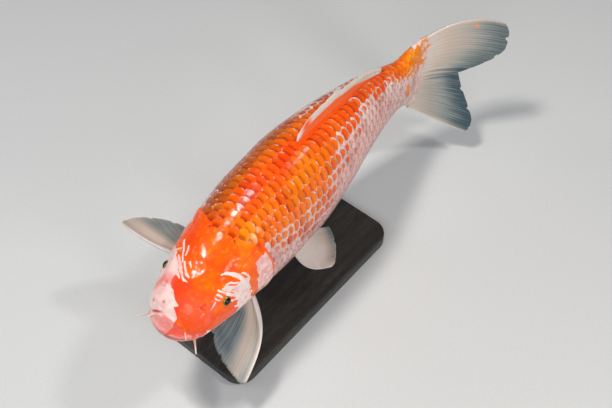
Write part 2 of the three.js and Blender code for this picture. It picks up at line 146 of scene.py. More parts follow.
def spine_frame(x):
    """Directions at a distance behind the snout: back along the spine, right and up."""
    turn, dip, roll = np.radians(heading(x)), np.radians(slope(x)), np.radians(lean(x))
    back = np.stack([np.cos(turn) * np.cos(dip), np.sin(turn) * np.cos(dip), -np.sin(dip)], -1)
    level = np.stack([-np.sin(turn), np.cos(turn), 0 * turn], -1)
    upright = np.cross(back, level)
    cosine, sine = np.cos(roll)[..., None], np.sin(roll)[..., None]
    return back, level * cosine - upright * sine, upright * cosine + level * sine


step_middles = SPINE_START + (np.arange(1, SPINE_COUNT) - 0.5) * SPINE_STEP
spine = np.vstack([np.zeros(3), np.cumsum(spine_frame(step_middles)[0] * SPINE_STEP, axis=0)])


def along_spine(x):
    place = (np.asarray(x, float) - SPINE_START) / SPINE_STEP
    i = np.clip(np.floor(place).astype(int), 0, SPINE_COUNT - 2)
    share = (place - i)[..., None]
    return spine[i] * (1 - share) + spine[i + 1] * share


spine_shift = np.array([0, 0, SPINE_HEIGHT]) - along_spine(SPINE_ANCHOR)


def bend(points):
    """Points of the straight fish, in millimetres, in its pose, in metres."""
    _, right, up = spine_frame(points[..., 0])
    placed = along_spine(points[..., 0]) + spine_shift
    return (placed + right * points[..., 1:2] + up * points[..., 2:3]) * MM


# ---- surface of the body ----
height, depth, half_width = curve(GIRTH, 1), curve(GIRTH, 2), curve(GIRTH, 3)


def centre_line(x):
    return np.where(x < DROP_LENGTH, -MOUTH_DROP * (1 - x / DROP_LENGTH) ** 2, 0)


def skin(x, angle):
    """Point of the straight body; the angle is in radians and runs from the back over the right flank."""
    x, angle = np.broadcast_arrays(np.asarray(x, float), np.asarray(angle, float))
    nose = np.clip(x, 0, NOSE_LENGTH) / NOSE_LENGTH
    roundness = np.sqrt(1 - (1 - nose) ** 2)
    taper = np.sqrt(1 - np.clip((x - STALK_END) / (SKIN_END + 0.4 - STALK_END), 0, 1) ** 2)
    across = power(np.sin(angle), PLUMPNESS_ACROSS)
    upward = power(np.cos(angle), PLUMPNESS_UPWARD)
    tall = np.where(upward > 0, height(x), depth(x))
    y = half_width(x) * taper * roundness * across
    return np.stack([x, y, centre_line(x) + tall * roundness * upward], -1)


def outward(x, angle):
    """Direction straight out of the skin."""
    along = skin(x + 1, angle) - skin(x - 1, angle)
    around = skin(x, angle + 0.01) - skin(x, angle - 0.01)
    return unit(np.cross(along, around))


def over_skin(x, angle, lift):
    lift = np.asarray(lift, float)[..., None]
    return skin(x, angle) + outward(x, angle) * lift


def gill_line(angle):
    """Rear edge of the head: the gill covers reach farther back than the nape and the throat."""
    fold = np.abs((np.asarray(angle, float) + np.pi) % FULL_TURN - np.pi)
    return NAPE + (THROAT - NAPE) * fold / np.pi + GILL_REACH * np.sin(fold) ** GILL_POINT


def trail(*places, count=90):
    """Points of the straight skin along a smooth line through places given as (x, degrees)."""
    rows = [(i, x, degrees) for i, (x, degrees) in enumerate(places)]
    share = np.linspace(0, len(rows) - 1, count)
    return skin(curve(rows, 1)(share), np.radians(curve(rows, 2)(share)))


def away_from(points, line, reach=30.0):
    """Distance of each point from a line of points, and how far along the line its nearest point is.

    Points beyond the reach count as twice as far. A whole-number reach gives whole millimetres, rounded
    down; the folds and streaks of this fish were shaped with that.
    """
    distance = np.full(len(points), 2 * reach)
    share = np.zeros(len(points))
    near = np.all((points > line.min(0) - reach) & (points < line.max(0) + reach), axis=1)
    places = np.flatnonzero(near)
    for rows in np.array_split(places, len(places) // 8000 + 1):
        gaps = np.linalg.norm(points[rows, None] - line, axis=-1)
        nearest = gaps.argmin(1)
        distance[rows] = gaps[np.arange(len(rows)), nearest]
        share[rows] = nearest / (len(line) - 1)
    return distance, share


def beside(points, reach, width, *places):
    """1 on a line over the skin through these places, fading over the width on both sides."""
    return bell(away_from(points, trail(*places), reach)[0], width)


# ---- meshes ----
def grid_faces(rows, columns, first=0, ring=False):
    """Four-sided faces over a grid of points; with ring the last column joins the first."""
    i, j = np.meshgrid(np.arange(rows - 1), np.arange(columns if ring else columns - 1), indexing="ij")
    here = first + i * columns + j
    following = first + i * columns + (j + 1) % columns
    return np.stack([here, following, following + columns, here + columns], -1).reshape(-1, 4)


def tube_faces(rings, columns):
    """Faces of a closed tube of rings of points, with a flat cap at each end."""
    k = np.arange(columns)
    caps = np.stack([k[::-1], (rings - 1) * columns + k])
    return [grid_faces(rings, columns, ring=True), caps]


def circle(count, first, second):
    """Directions all round in the plane of two directions, or of each pair of them."""
    turn = np.linspace(0, FULL_TURN, count, endpoint=False)[:, None]
    return np.cos(turn) * np.asarray(first)[..., None, :] + np.sin(turn) * np.asarray(second)[..., None, :]


def shell_faces(rows, columns):
    """Faces of a closed plate whose upper grid of points comes before its lower one."""
    below = rows * columns
    upper = grid_faces(rows, columns)
    lower = grid_faces(rows, columns, below)[:, ::-1]
    rim = list(range(columns - 1))
    rim += [i * columns + columns - 1 for i in range(rows - 1)]
    rim += [(rows - 1) * columns + j for j in range(columns - 1, 0, -1)]
    rim += [i * columns for i in range(rows - 1, 0, -1)]
    rim = np.array(rim)
    following = np.roll(rim, -1)
    edge = np.stack([following, rim, rim + below, following + below], -1)
    return np.vstack([upper, lower, edge])


def volume_of(points, faces):
    """Six times the volume inside the faces: below 0 where they are turned inwards."""
    corners = points[faces]
    total = 0
    for k in range(2, faces.shape[1]):
        total += np.sum(corners[:, 0] * np.cross(corners[:, k - 1], corners[:, k]))
    return total


def build_piece(name, points, faces, material, nodes=(), facts=None, bake_map=None):
    """Makes a mesh object with its faces turned outwards and tells the frame what it stands for.

    faces is a list of arrays. facts are numbers that the finish reads at each point, and bake_map
    is the place of each point on the bake.
    """
    turn = 1 if sum(volume_of(points, group) for group in faces) > 0 else -1
    corners = [corners for group in faces for corners in group[:, ::turn].tolist()]
    mesh = bpy.data.meshes.new(name)
    mesh.from_pydata(points.tolist(), [], corners)
    mesh.shade_smooth()
    for label, values in (facts or {}).items():
        made = mesh.attributes.new(label, "FLOAT", "POINT")
        made.data.foreach_set("value", np.ascontiguousarray(values, dtype=np.float32).ravel())
    if bake_map is not None:
        point_of = np.empty(len(mesh.loops), dtype=np.int32)
        mesh.loops.foreach_get("vertex_index", point_of)
        layer = mesh.uv_layers.new(name="OFBake")
        layer.uv.foreach_set("vector", bake_map[point_of].astype(np.float32).ravel())
    mesh.materials.append(material)
    piece = bpy.data.objects.new(name, mesh)
    bpy.context.collection.objects.link(piece)
    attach(piece, "root")
    if nodes:
        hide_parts(*nodes)


# ---- markings ----
# Each row is (x, degrees): where the orange of the head ends on the right, seen along the head.
RIGHT_BORDER = (
    (0, -24), (7, -16), (10, -13), (13, -5), (15.5, 0), (18, -3), (21, 5), (24, 9), (28, 17), (33.5, 27),
    (40, 27), (44, 23), (50, 30), (60, 40), (70, 47), (78, 60), (84, 82), (90, 110), (110, 118), (140, 118),
)
LEFT_BORDER = (
    (0, 40), (3, 58), (8, 76), (15, 88), (30, 97), (45, 104), (62, 98), (75, 100), (90, 98),
    (105, 104), (140, 106),
)
# On the body the orange thins out from the first angle to the second, away from the back.
FULL_ORANGE = (
    (105, 24), (150, 8), (200, 18), (235, 14), (260, 2), (300, -8), (360, -10), (420, -4), (450, 22),
    (485, 46),
)
LAST_ORANGE = (
    (105, 84), (150, 100), (200, 116), (235, 116), (260, 98), (300, 72), (360, 52), (420, 46), (455, 78),
    (490, 100),
)
# White streaks that run back over the cheeks and the top of the head, pale markings with painted glints among
# them:
# half width in millimetres and places, from the thin end.
CHEEK_STREAKS_AND_GLINTS = (
    (2.4, ((66.5, -29), (72, -35), (78, -45), (83, -56), (88, -67))),
    (0.7, ((85, -49), (88, -53), (92, -62))),
    (0.9, ((63.5, -42), (70, -47), (78, -57), (88, -67))),
    (1.1, ((61, -42.5), (68, -51.5), (77, -59))),
    (0.6, ((58, -42.5), (67, -53.5), (75, -64.5))),
    (0.6, ((58.5, -45), (64, -53.5), (74, -68))),
    (1.3, ((52.5, -37.5), (57, -48), (62, -57.5), (73, -73))),
    (0.8, ((50, -41), (53, -50))),
    (0.6, ((46, -45), (49, -51))),
    (1.0, ((61.5, -68), (73, -76))),
    (1.0, ((64, -80), (74, -90))),
    (0.7, ((36, -54), (40, -51), (43.5, -48))),
    (0.7, ((47.5, 12), (52, 17), (57.5, 23))),
    (1.0, ((41, 4), (41, 9), (47, 19), (52.5, 27))),
    (1.0, ((40.5, 17), (45, 24), (50, 30))),
    (0.6, ((55, 9.5), (59, 15))),
    (0.9, ((45.5, 5), (47, 11.5))),
    (0.7, ((51, 22), (56, 30), (63, 37.5))),
    (1.4, ((51.5, 29), (60, 41), (71, 54))),
    (0.8, ((56, 26), (65, 31.5), (73, 37), (81, 44))),
    (0.4, ((64.5, 26), (74, 29))),
    (0.7, ((72, 40), (69.5, 47))),
)
# Where the pale part of the gill cover begins: (degrees, x).
COVER_FRONT = ((57, 106), (75, 104), (90, 103), (105, 103), (125, 98), (150, 90))
JAW_TOP = ((9.4, 0), (9.2, 30), (9.6, 60), (11.8, 80), (16, 96))  # fold over the upper lip
# Where the coral of the lips ends: (degrees, x), the left side below 0.
LIP_BORDER = (
    (-180, 12), (-140, 16), (-110, 26), (-95, 27), (-82, 19), (-72, 11.8), (-60, 7.6), (-34, 6.8), (0, 7.6),
    (20, 8.9), (60, 9.6), (80, 11.8), (96, 16), (110, 22), (140, 16), (180, 12),
)
BLOOD_SPOTS = (  # x, degrees, radius
    (17.5, 57.0, 1.7), (16.5, 27.0, 1.7), (66.0, 40.0, 1.2), (60.0, 48.0, 1.2), (72.0, 55.0, 1.2),
    (117.0, -76.0, 1.4), (110.0, -82.0, 1.2), (112.0, -70.0, 1.2),
)


def markings(x, angle):
    """How much of each pigment, and of painted shade, the skin holds at its places: values from 0 to 1,
    warmth from -1 to 1.
    """
    x, angle = np.broadcast_arrays(np.asarray(x, float), np.asarray(angle, float))
    shape = x.shape
    x, angle = x.ravel(), angle.ravel()
    degrees = np.degrees((angle + np.pi) % FULL_TURN - np.pi)
    fold = np.abs(degrees)
    on_right = ramp(degrees, -4, 4)
    spot = skin(x, angle)
    behind = x - gill_line(angle)
    body = ramp(behind, -1, 2)
    blotch = wander(spot, 22, 3)
    fleck = wander(spot, 6, 4)

    # Body: solid orange on the back that thins out down the flanks.
    limit_full = curve(FULL_ORANGE)(x) + 7 * blotch + 5 * fleck
    limit_last = curve(LAST_ORANGE)(x) + 8 * blotch + 6 * fleck
    flank = 1 - ramp(fold, limit_full, limit_last)
    ragged_end = 1 - ramp(x + 5 * fleck + 9 * np.cos(angle * 3), 488, 497)
    shoulder_pale = bell(behind - 4, 8) * ramp(fold, 44, 56)
    flank = flank * ragged_end * (1 - 0.85 * shoulder_pale)
    stalk_patch, _ = away_from(spot, trail((466, -84), (471, -104)), 20)
    stalk_patch = 0.8 * bell(stalk_patch + fleck, 5)
    flank = np.maximum(flank, stalk_patch)

    # Head: orange between two borders, broken by the pale cheeks and gill covers.
    right_edge = 1 - ramp(degrees - curve(RIGHT_BORDER)(x) + 2 * fleck, -4, 4)
    left_edge = 1 - ramp(-degrees - curve(LEFT_BORDER)(x) + 4 * fleck, -6, 6)
    head = right_edge * left_edge
    cheek, _ = away_from(spot, trail((79, -66), (80, -76), (81, -90), (82, -106), (78, -120)))
    head = head * ramp(cheek + 1.6 * fleck, 10.5, 13)
    cover = ramp(x - curve(COVER_FRONT)(fold) + 1.5 * fleck, -2.5, 2.5) * ramp(fold + 2 * fleck, 50, 58)
    head = head * (1 - cover)
    moved = spot + 0.35 * np.stack([wander(spot, 6, seed) for seed in (21, 22, 23)], -1)
    # The streaks take out the orange: pale markings, with some painted glints among them.
    for half, streak in CHEEK_STREAKS_AND_GLINTS:
        line, along = away_from(moved, trail(*streak), 12)
        width = half * ramp(along, -0.1, 0.5)
        head = head * ramp(line + 0.15 * fleck, 0.85 * width - 0.8, 0.85 * width + 1.1)
    rim = bell(behind + 2.2, 1.9) * within(fold, 46, 50, 84, 96)
    head = np.maximum(head, rim * ramp(fleck + blotch, -1.6, -0.4))
    orange = mix(head, flank, body)

    # Warmth: redder on the right of the head and along the ridge, yellower behind the nape and at the tail.
    warmth = 0.4 * (1 - ramp(fold, 6, 20)) * body
    warmth -= 0.45 * body * within(fold, 8, 20, 60, 85) * (1 - ramp(x, 235, 300))
    warmth -= 0.7 * beside(spot, 45, 14, (112, -26), (118, -8), (124, 8))
    warmth += 0.5 * beside(spot, 45, 20, (86, 34), (98, 42), (108, 44))
    warmth += 0.4 * beside(spot, 45, 14, (40, -80), (55, -88), (66, -90))
    warmth -= 0.4 * ramp(x, 405, 440) + 0.5 * ramp(x, 452, 480) + 0.6 * stalk_patch
    warmth += 0.2 * blotch + 0.12 * fleck
    warmth += 0.9 * (1 - ramp(x, 36, 52)) * ramp(degrees, -22, 2)
    warmth += 0.4 * (1 - ramp(x, 16, 40)) * (1 - on_right)

    # Blush: coral lips, salmon over the snout, flushed cheeks and flanks; the strongest counts.
    lip_end = curve(LIP_BORDER)(degrees)
    lips = 1 - ramp(x + 0.5 * fleck, 0.9 * lip_end, 1.08 * lip_end)
    lip_edge = bell(x - 0.84 * lip_end, 1.1) * within(degrees, 16, 32, 74, 84)
    pale_lip = 0.3 * ramp(degrees, 20, 80) + 0.2 * ramp(fleck, -0.5, 1)
    flushed_flank = body * (1 - orange) * within(fold, 25, 60, 108, 135)
    blush = np.maximum.reduce([
        0.76 * lips * (1 - 0.75 * lip_edge) * (1 - pale_lip),
        0.75 * beside(spot, 20, 8, (38, 34), (38, 44), (34, 60)),
        0.33 * beside(spot, 30, 16, (22, -22), (26, -40)),
        0.25 * beside(spot, 40, 18, (28, 40), (42, 46), (62, 62)),
        0.5 * beside(spot, 12, 3, (38, -52), (34, -58), (29, -68)),
        0.34 * cover * (1 - body) * (1 + 0.4 * fleck),
        flushed_flank * mix(0.22, 0.34, ramp(x, 230, 290)) * (1 - 0.6 * ramp(x, 380, 440)),
        0.3 * beside(spot, 30, 9, (80, -84), (70, -100), (62, -112)) * ramp(fleck, -0.4, 0.8),
    ])
    blush += 0.07 * ramp(fleck, -0.2, 1) * (1 - body)

    # Blood: small red points and the crease over the corner of the mouth.
    crease = beside(spot, 8, 1.0, *((at, over) for at, over in JAW_TOP if over < 90))
    blood = crease * within(degrees, 10, 50, 62, 80)
    for at, over, radius in BLOOD_SPOTS:
        gap = np.linalg.norm(spot - skin(at, math.radians(over)), axis=-1)
        blood = np.maximum(blood, 0.8 * bell(gap, radius))

    # Painted shade: brown in the orange of the flanks turned from the light, most on the right, some low on
    # the left.
    painted_shade = 0.85 * body * within(degrees, 8, 34, 110, 150) * (0.9 + 0.2 * fleck)
    left_painted_shade = body * within(-degrees, 56, 84, 110, 150) * (0.4 + 0.15 * fleck)
    painted_shade = np.maximum(painted_shade, left_painted_shade) * (1 - 0.8 * ramp(x, 415, 450))

    # Silver: mauve grey low on the flanks and at the rear of the head.
    silver = body * mix(0.35, 1, ramp(fold, 45, 100)) * (1 - 0.6 * ramp(fold, 130, 165))
    silver = silver * (0.9 + 0.15 * blotch) * (1 - 0.45 * ramp(x, 270, 340))
    head_silver = ramp(behind, -22, -6) * within(fold, 60, 80, 120, 140)
    silver = np.maximum(silver, 0.12 * head_silver)
    facts = dict(orange=orange, warmth=warmth, blush=blush, blood=blood, painted_shade=painted_shade, silver=silver)
    return {label: value.reshape(shape) for label, value in facts.items()}


# ---- relief of the head ----
GROOVES = (  # depth, half width, places as (x, degrees from the back)
    (1.5, 1.3, ((38, 50), (35, 64), (31, 78), (25, 92), (17, 103))),  # nostril to the corner of the mouth
    (0.55, 1.3, ((40, 76), (50, 92), (64, 96), (76, 84), (79, 68))),  # lower edge of the cheek bones
    (1.1, 1.5, ((80, 46), (88, 60), (92, 80), (88, 102), (76, 120), (58, 130), (42, 126))),  # gill cover
    (0.6, 1.2, ((90, 100), (104, 112), (116, 116), (122, 112))),  # seam across the gill cover
    (0.8, 1.5, ((84, 46), (100, 44), (114, 46))),  # upper edge of the gill cover
    (1.2, 2.0, ((16, 108), (28, 124), (44, 136), (62, 142), (80, 150))),  # edge of the lower jaw
    (0.9, 2.2, ((24, 166), (46, 160), (70, 160), (90, 168))),  # throat
    (0.35, 1.1, ((46, 68), (52, 76), (60, 77), (66, 70))),  # under the eye
    (0.4, 1.6, ((66, 18), (80, 24), (96, 22), (103, 10))),  # line of the skull
    (0.5, 1.4, ((66, 150), (80, 156), (94, 158))),  # gill ray
    (0.5, 1.4, ((60, 142), (78, 146), (98, 148))),  # gill ray
)
RIDGES = (  # height, half width, places
    (1.3, 5.5, ((42, 44), (52, 41), (62, 43), (72, 50))),  # brow
    (0.8, 2.6, ((34, 46), (31, 62), (27, 76), (20, 90))),  # edge of the nose fold
    (0.9, 9, ((58, 84), (70, 92))),  # cheek
    (1.0, 13, ((104, 84), (110, 96))),  # middle of the gill cover
    (0.5, 3, ((76, 50), (84, 64), (87, 80), (83, 100), (72, 116))),  # ahead of the gill cover
    (1.2, 9, ((12, 150), (14, 180))),  # chin
)
MOUTH = ((0.02, 90), (2, 90.5), (6, 92), (10, 96), (12.6, 103))
NOSTRILS = ((29.0, 37, 1.5, 1.9), (33.6, 38, 1.9, 2.2))  # x, degrees, radius, depth
OPENING = 5.35  # radius of the opening for the eye
LID = 8.6  # radius at which the rim round the eye has run out


def eye_seat():
    """Centre of the right eyeball and the direction in which it looks, on the straight fish."""
    centre = over_skin(np.array(EYE_X), np.radians(EYE_ANGLE), EYE_PROUD - EYE_RADIUS)
    return centre, unit(np.array([-0.18, 0.95, 0.28]))


def head_relief(spot, x, fold):
    """Height of the folds, lips and bones of the head over its plain form; spot is on the right side."""
    relief = np.zeros(len(x))
    for deep, width, places in GROOVES:
        line, along = away_from(spot, trail(*places), 4 * width)
        fade = within(along, 0, 0.12, 0.85, 1)
        relief -= deep * bell(line, width) * mix(0.35, 1, fade)
    for tall, width, places in RIDGES:
        relief += tall * beside(spot, 3.2 * width, width, *places)

    # Lips: two rolls along the slit of the mouth, the upper one under a fold of the jaw.
    line, along = away_from(spot, trail(*MOUTH, count=160), 26)
    slit_z = centre_line(x) - 4.5 * along ** 3
    above = ramp(spot[:, 2] - slit_z, -0.4, 0.4)
    thin = 1 - 0.55 * along ** 2
    upper = 2.3 * thin * bell(line - 4.2 * thin, 3.3 * thin)
    lower = 1.3 * thin * bell(line - 3.6 * thin, 2.9 * thin)
    jaw, _ = away_from(spot, trail(*JAW_TOP), 20)
    jaw_x = curve([(degrees, at) for at, degrees in JAW_TOP])(fold)
    inside = np.where(x < jaw_x, 1, -1) * np.minimum(jaw, 12)
    lip_top = mix(lower, upper, above) + 0.4 * ramp(inside, 0, 3.5) * above * (1 - bell(line, 4))
    relief += lip_top - mix(0.2, 0.9, ramp(fold, 30, 65)) * bell(jaw, 1.3) * (fold < 100)
    relief -= 3.2 * bell(line, 0.95) * (1 - 0.3 * along)
    relief -= 0.8 * bell(line - 9, 1.5) * (1 - above)
    corner, _ = away_from(spot, trail((12.6, 103), (13.4, 106), count=4), 8)
    relief -= 1.3 * bell(corner, 2.2)

    # Nostrils: a smaller hole in front of a larger one, with a flap between.
    for at, degrees, radius, deep in NOSTRILS:
        hole = np.linalg.norm(spot - skin(at, math.radians(degrees)), axis=-1)
        relief += 0.5 * bell(hole - 1.7 * radius, 0.9) - deep * (1 - ramp(hole, 0.55 * radius, 1.25 * radius))
    relief += 1.1 * beside(spot, 4, 0.8, (31.2, 33.5), (31.5, 37.5), (31.2, 41.5))

    # Gill cover: bony rays that spread from its upper front corner.
    ahead, around = x - 90, np.radians(fold - 58) * 54
    spread = np.arctan2(around, ahead)
    bony = ramp(np.hypot(ahead, around), 6, 16) * ramp(x, 91, 97)
    bony = bony * within(fold, 50, 60, 108, 118)
    relief += 0.16 * np.sin(spread * 30) * bony
    wrinkled = bell(line - 12, 9) + 0.4
    return relief + 0.13 * wrinkled * wander(spot, 3.2, 8) + 0.25 * wander(spot, 13, 9)


def edge_level(behind, fold):
    """Level of the skin round the rear edge of the head: a step under the gill covers, a slope elsewhere."""
    flank = within(fold, 44, 58, 158, 174)
    nape = -COAT * ramp(behind, -7, 1.5)
    rounded = np.sqrt(np.clip(-behind / 1.6, 0, 1))
    cover = 1.5 * ramp(behind, -16, -4) * rounded - 0.35 * bell(behind + 4.4, 0.9)
    under = -2.6 + (2.6 - COAT) * ramp(behind, 1.5, 5)
    return mix(nape, np.where(behind < 0, cover, under), flank)


def set_round_eye(points):
    """Moves the skin round the right eye so that it ends on the ball, with a low rim."""
    centre, axis = eye_seat()
    away = points - centre
    reach = np.linalg.norm(away, axis=-1)
    along = away @ axis
    across = np.linalg.norm(away - along[:, None] * axis, axis=-1)
    front = along > 0
    crest = EYE_RADIUS + 0.75
    rim = mix(crest, np.maximum(reach, 1), ramp(across, OPENING + 0.9, LID))
    wanted = mix(EYE_RADIUS - 1.2, rim, ramp(across, OPENING - 0.35, OPENING + 0.45))
    moved = centre + away * (wanted / np.maximum(reach, 1e-6))[:, None]
    return np.where((front & (across < LID))[:, None], moved, points)


# ---- skin ----
COLUMNS = 320
HEAD_RINGS = 219
EDGE_RINGS, EDGE_BEFORE, EDGE_AFTER = 22, 4.0, 5.2
BODY_RINGS = 60
NOSE_ARC = 46  # length of the skin over the rounded nose, from the mouth to where the nose ends


def ring_places(angles):
    """x of every point of the skin but the first: rings crowd at the nose, the gills' edge and the tail."""
    gill = gill_line(angles)[None, :]
    arc = np.linspace(0, 1, HEAD_RINGS + 1)[1:, None] * (NOSE_ARC + gill - NOSE_LENGTH - EDGE_BEFORE)
    on_nose = NOSE_LENGTH * (1 - np.cos(np.clip(arc / NOSE_ARC, 0, 1) * np.pi / 2))
    head = np.where(arc < NOSE_ARC, on_nose, NOSE_LENGTH + arc - NOSE_ARC)
    edge = gill + np.linspace(-EDGE_BEFORE, EDGE_AFTER, EDGE_RINGS + 1)[1:, None]
    share = 1 - (1 - np.linspace(0, 1, BODY_RINGS + 1)[1:, None]) ** 1.3
    return np.vstack([head, edge, mix(gill + EDGE_AFTER, SKIN_END, share)])


def unwrap(x, angle):
    """Place of a point on the bake: the skin slit along the belly and laid flat."""
    turn = ((angle + np.pi) % FULL_TURN) / FULL_TURN
    return np.stack([0.02 + 0.96 * x / SKIN_END, 0.02 + 0.96 * turn], -1)


def make_skin(material):
    # The columns lie closer over the crown and the eyes than under the throat.
    angles = np.linspace(-np.pi, np.pi, COLUMNS, endpoint=False)
    angles = angles - 0.35 * np.sin(angles)
    x = ring_places(angles)
    angle = np.broadcast_to(angles, x.shape)
    normals = outward(np.maximum(x, 0.6), angle)
    at_tip = 1 - ramp(x, 0, 1.2)
    normals = unit(mix(normals, np.array([-1.0, 0, 0]), at_tip[..., None])).reshape(-1, 3)
    plain = skin(x, angle).reshape(-1, 3)
    x, angle = x.ravel(), angle.ravel()

    # The relief is worked out on the right side and holds for both.
    mirror = np.where(plain[:, 1:2] < 0, (1, -1, 1), (1, 1, 1))
    fold = np.degrees(np.abs(angle))
    behind = x - gill_line(angle)
    on_head = behind < 1
    relief = np.zeros(len(x))
    relief[on_head] = head_relief((plain * mirror)[on_head], x[on_head], fold[on_head])
    lift = edge_level(behind, fold) + relief * (1 - ramp(behind, -3, 1))
    points = set_round_eye((plain + normals * lift[:, None]) * mirror) * mirror

    mouth, _ = away_from(plain * mirror, trail(*MOUTH, count=160), 6)
    facts = markings(x, angle)
    # The mouth fact marks where the slit of the mouth gets its painted shade.
    facts["mouth"] = bell(mouth, 1.3)
    tip = points[:COLUMNS].mean(0) + (0.4, 0, 0)
    points = np.vstack([tip, points])
    facts = {label: np.concatenate([value[:1], value]) for label, value in facts.items()}
    bake_map = unwrap(np.concatenate([[0], x]), np.concatenate([[0], angle]))

    rings = len(x) // COLUMNS
    sides = grid_faces(rings, COLUMNS, 1, ring=True)
    k = np.arange(COLUMNS)
    nose = np.stack([0 * k, 1 + (k + 1) % COLUMNS, 1 + k], -1)
    # The last ring is nearly flat: its left half is joined to its right half.
    last, half = 1 + (rings - 1) * COLUMNS, COLUMNS // 2
    k = np.arange(1, half - 1)
    seam = last + np.stack([k, k + 1, COLUMNS - k - 1, COLUMNS - k], -1)
    ends = last + np.array([[0, 1, COLUMNS - 1], [half - 1, half, half + 1]])
    flesh = ["head", "upper_lip", "lower_lip", "gill_cover_right", "gill_cover_left"]
    flesh += ["trunk_front", "trunk_middle", "trunk_rear", "tail_stalk"]
    build_piece("koi_skin", bend(points), [sides, nose, seam, ends], material, flesh, facts, bake_map)


# ---- scales ----
SCALE_STEP = 10.3  # between one scale and the next in a row along the body
STEP_SHRINK = ((400, 1), (500, 0.74))  # of that step and of the scales towards the tail
ROWS_OVER, ROWS_UNDER = 7, 8  # rows between the lateral line and the middle of the back, and of the belly
LATERAL_LINE = ((105, 70), (200, 84), (320, 90), (500, 90))
SCALE_LENGTH, SCALE_WIDTH = 2.1, 1.5  # in steps along the body and in steps between rows
SCALE_THICKNESS = 0.28
SCALE_PATCH = 0.0015  # half of the patch of the bake that one scale has
OWN_PATTERN = 0.3  # how much the pigment changes over one scale; the rest is that of its middle
BACK_FIN_SPAN = (236, 426)
UNDER_PART = 78  # degrees from the back at which the lower piece of the coat begins


def rows_of_scales():
    """One line for each scale of the right side: x, angle, length, width, and 1 on the lateral line.

    The rows run along the lateral line; the scales of each are half a step behind those of the next.
    """
    angles = np.linspace(0, np.pi, 181)
    shrink, line = curve(STEP_SHRINK), curve(LATERAL_LINE)
    columns = [SKIN_END - 10.0]
    while columns[-1] > THROAT - SCALE_STEP:
        columns.append(columns[-1] - SCALE_STEP / 2 * float(shrink(columns[-1])))
    found = []
    for k, x in enumerate(columns):
        arc = np.concatenate([[0], np.cumsum(np.linalg.norm(np.diff(skin(x, angles), axis=0), axis=1))])
        middle = np.interp(np.radians(line(x)), angles, arc)
        length = SCALE_LENGTH * SCALE_STEP * float(shrink(x))
        for row in range(-ROWS_OVER + (k + ROWS_OVER) % 2, ROWS_UNDER + 1, 2):
            step = middle / ROWS_OVER if row < 0 else (arc[-1] - middle) / ROWS_UNDER
            angle = float(np.interp(middle + row * step, arc, angles))
            under_fin = row == -ROWS_OVER and BACK_FIN_SPAN[0] < x < BACK_FIN_SPAN[1]
            if not under_fin and x + length / 2 > gill_line(angle) + 3:
                found.append((x, angle, length, step * SCALE_WIDTH, row == 0))
    return np.array(found)


def build_coat(name, rows, side, material, random):
    """One piece of the coat: a thin plate for each row, bent over the skin on the given side."""
    cells = 10
    b, a = np.meshgrid(np.linspace(0, 1, cells + 1), np.linspace(-1, 1, cells + 1), indexing="ij")
    x, angle, length, width, on_line = rows.T[..., None, None]
    angle = side * angle
    grow, tint, raised, tilt = (
        random.uniform(least, most, x.shape)
        for least, most in ((0.96, 1.06), (0, 1), (-0.06, 0.14), (-0.035, 0.035)))
    # Outline of each scale round its own centre: a rounded rear edge, a flatter front one.
    rear = length * grow * (0.5 - 0.34 * (1 - np.sqrt(1 - 0.9 * a * a)))
    front = -length * 0.5 * (1 - 0.3 * a * a)
    straight_along = mix(front, rear, b)
    straight_around = a * width * grow / 2 * (1 - 0.12 * (2 * b - 1) ** 2)
    along = straight_along - tilt * straight_around
    around = straight_around + tilt * straight_along
    mm_per_radian = np.linalg.norm(skin(x, angle + 0.02) - skin(x, angle - 0.02), axis=-1) / 0.04
    place_x = np.minimum(x + along, SKIN_END - 0.5)
    place_angle = angle + around / np.maximum(mm_per_radian, 6)
    # A scale starts deep under those ahead of it and ends proud of those behind.
    lift = -0.95 + 1.05 * b + 0.32 * b ** 3 + raised * b - 0.22 * a * a * b
    lift = lift + 0.16 * bell(b - 0.98, 0.06)
    # Those of the lateral line have a short tube in their middle.
    tube = bell(a, 0.11) * within(b, 0.4, 0.55, 0.84, 0.92)
    lift = lift + 0.3 * on_line * tube
    levels = [over_skin(place_x, place_angle, level) for level in (lift, lift - SCALE_THICKNESS)]
    points = np.stack(levels, 1).reshape(-1, 3)
    firsts = np.arange(len(rows))[:, None, None] * (2 * a.size)
    faces = (shell_faces(cells + 1, cells + 1)[None] + firsts).reshape(-1, 4)
    # Each scale has a small patch of the bake, where its root is on the unwrapped skin.
    patch = unwrap(x, angle) + SCALE_PATCH * np.stack([2 * b - 1, a], -1)
    bake_map = np.stack([patch, patch], 1).reshape(-1, 2)
    here, whole = markings(place_x, place_angle), markings(x + 0.25 * length, angle)
    facts = {label: mix(whole[label], here[label], OWN_PATTERN) for label in here}
    facts.update(to_edge=rear - straight_along, across=straight_around, tint=tint)
    for label, value in facts.items():
        value = np.broadcast_to(value, place_x.shape)
        facts[label] = np.stack([value, value], 1).ravel()
    build_piece(name, bend(points), [faces], material, (), facts, bake_map)


def make_scales(material):
    random = np.random.default_rng(11)
    rows = rows_of_scales()
    lower = rows[:, 1] > np.radians(UNDER_PART)
    shared = (rows[:, 1] < 0.01) | (rows[:, 1] > np.pi - 0.01)
    for side, side_name in SIDES:
        for part, chosen in (("upper", ~lower), ("lower", lower)):
            # The scales on the middle of the back and belly are made once, with the right side.
            kept = rows[chosen & (~shared | (side > 0))]
            build_coat(f"scales_{side_name}_{part}", kept, side, material, random)


# ---- fins ----
def ray_profile(u, v, rays):
    """1 on the crest of a fin ray and 0 between; each ray forks in two and then in four."""
    whole = np.abs(np.cos(np.pi * rays * u))
    halves = np.abs(np.sin(2 * np.pi * rays * u))
    quarters = np.abs(np.sin(4 * np.pi * rays * u))
    forked = mix(whole, halves, ramp(v, 0.35, 0.6))
    return mix(forked, quarters, 0.6 * ramp(v, 0.7, 0.95)) ** 1.3


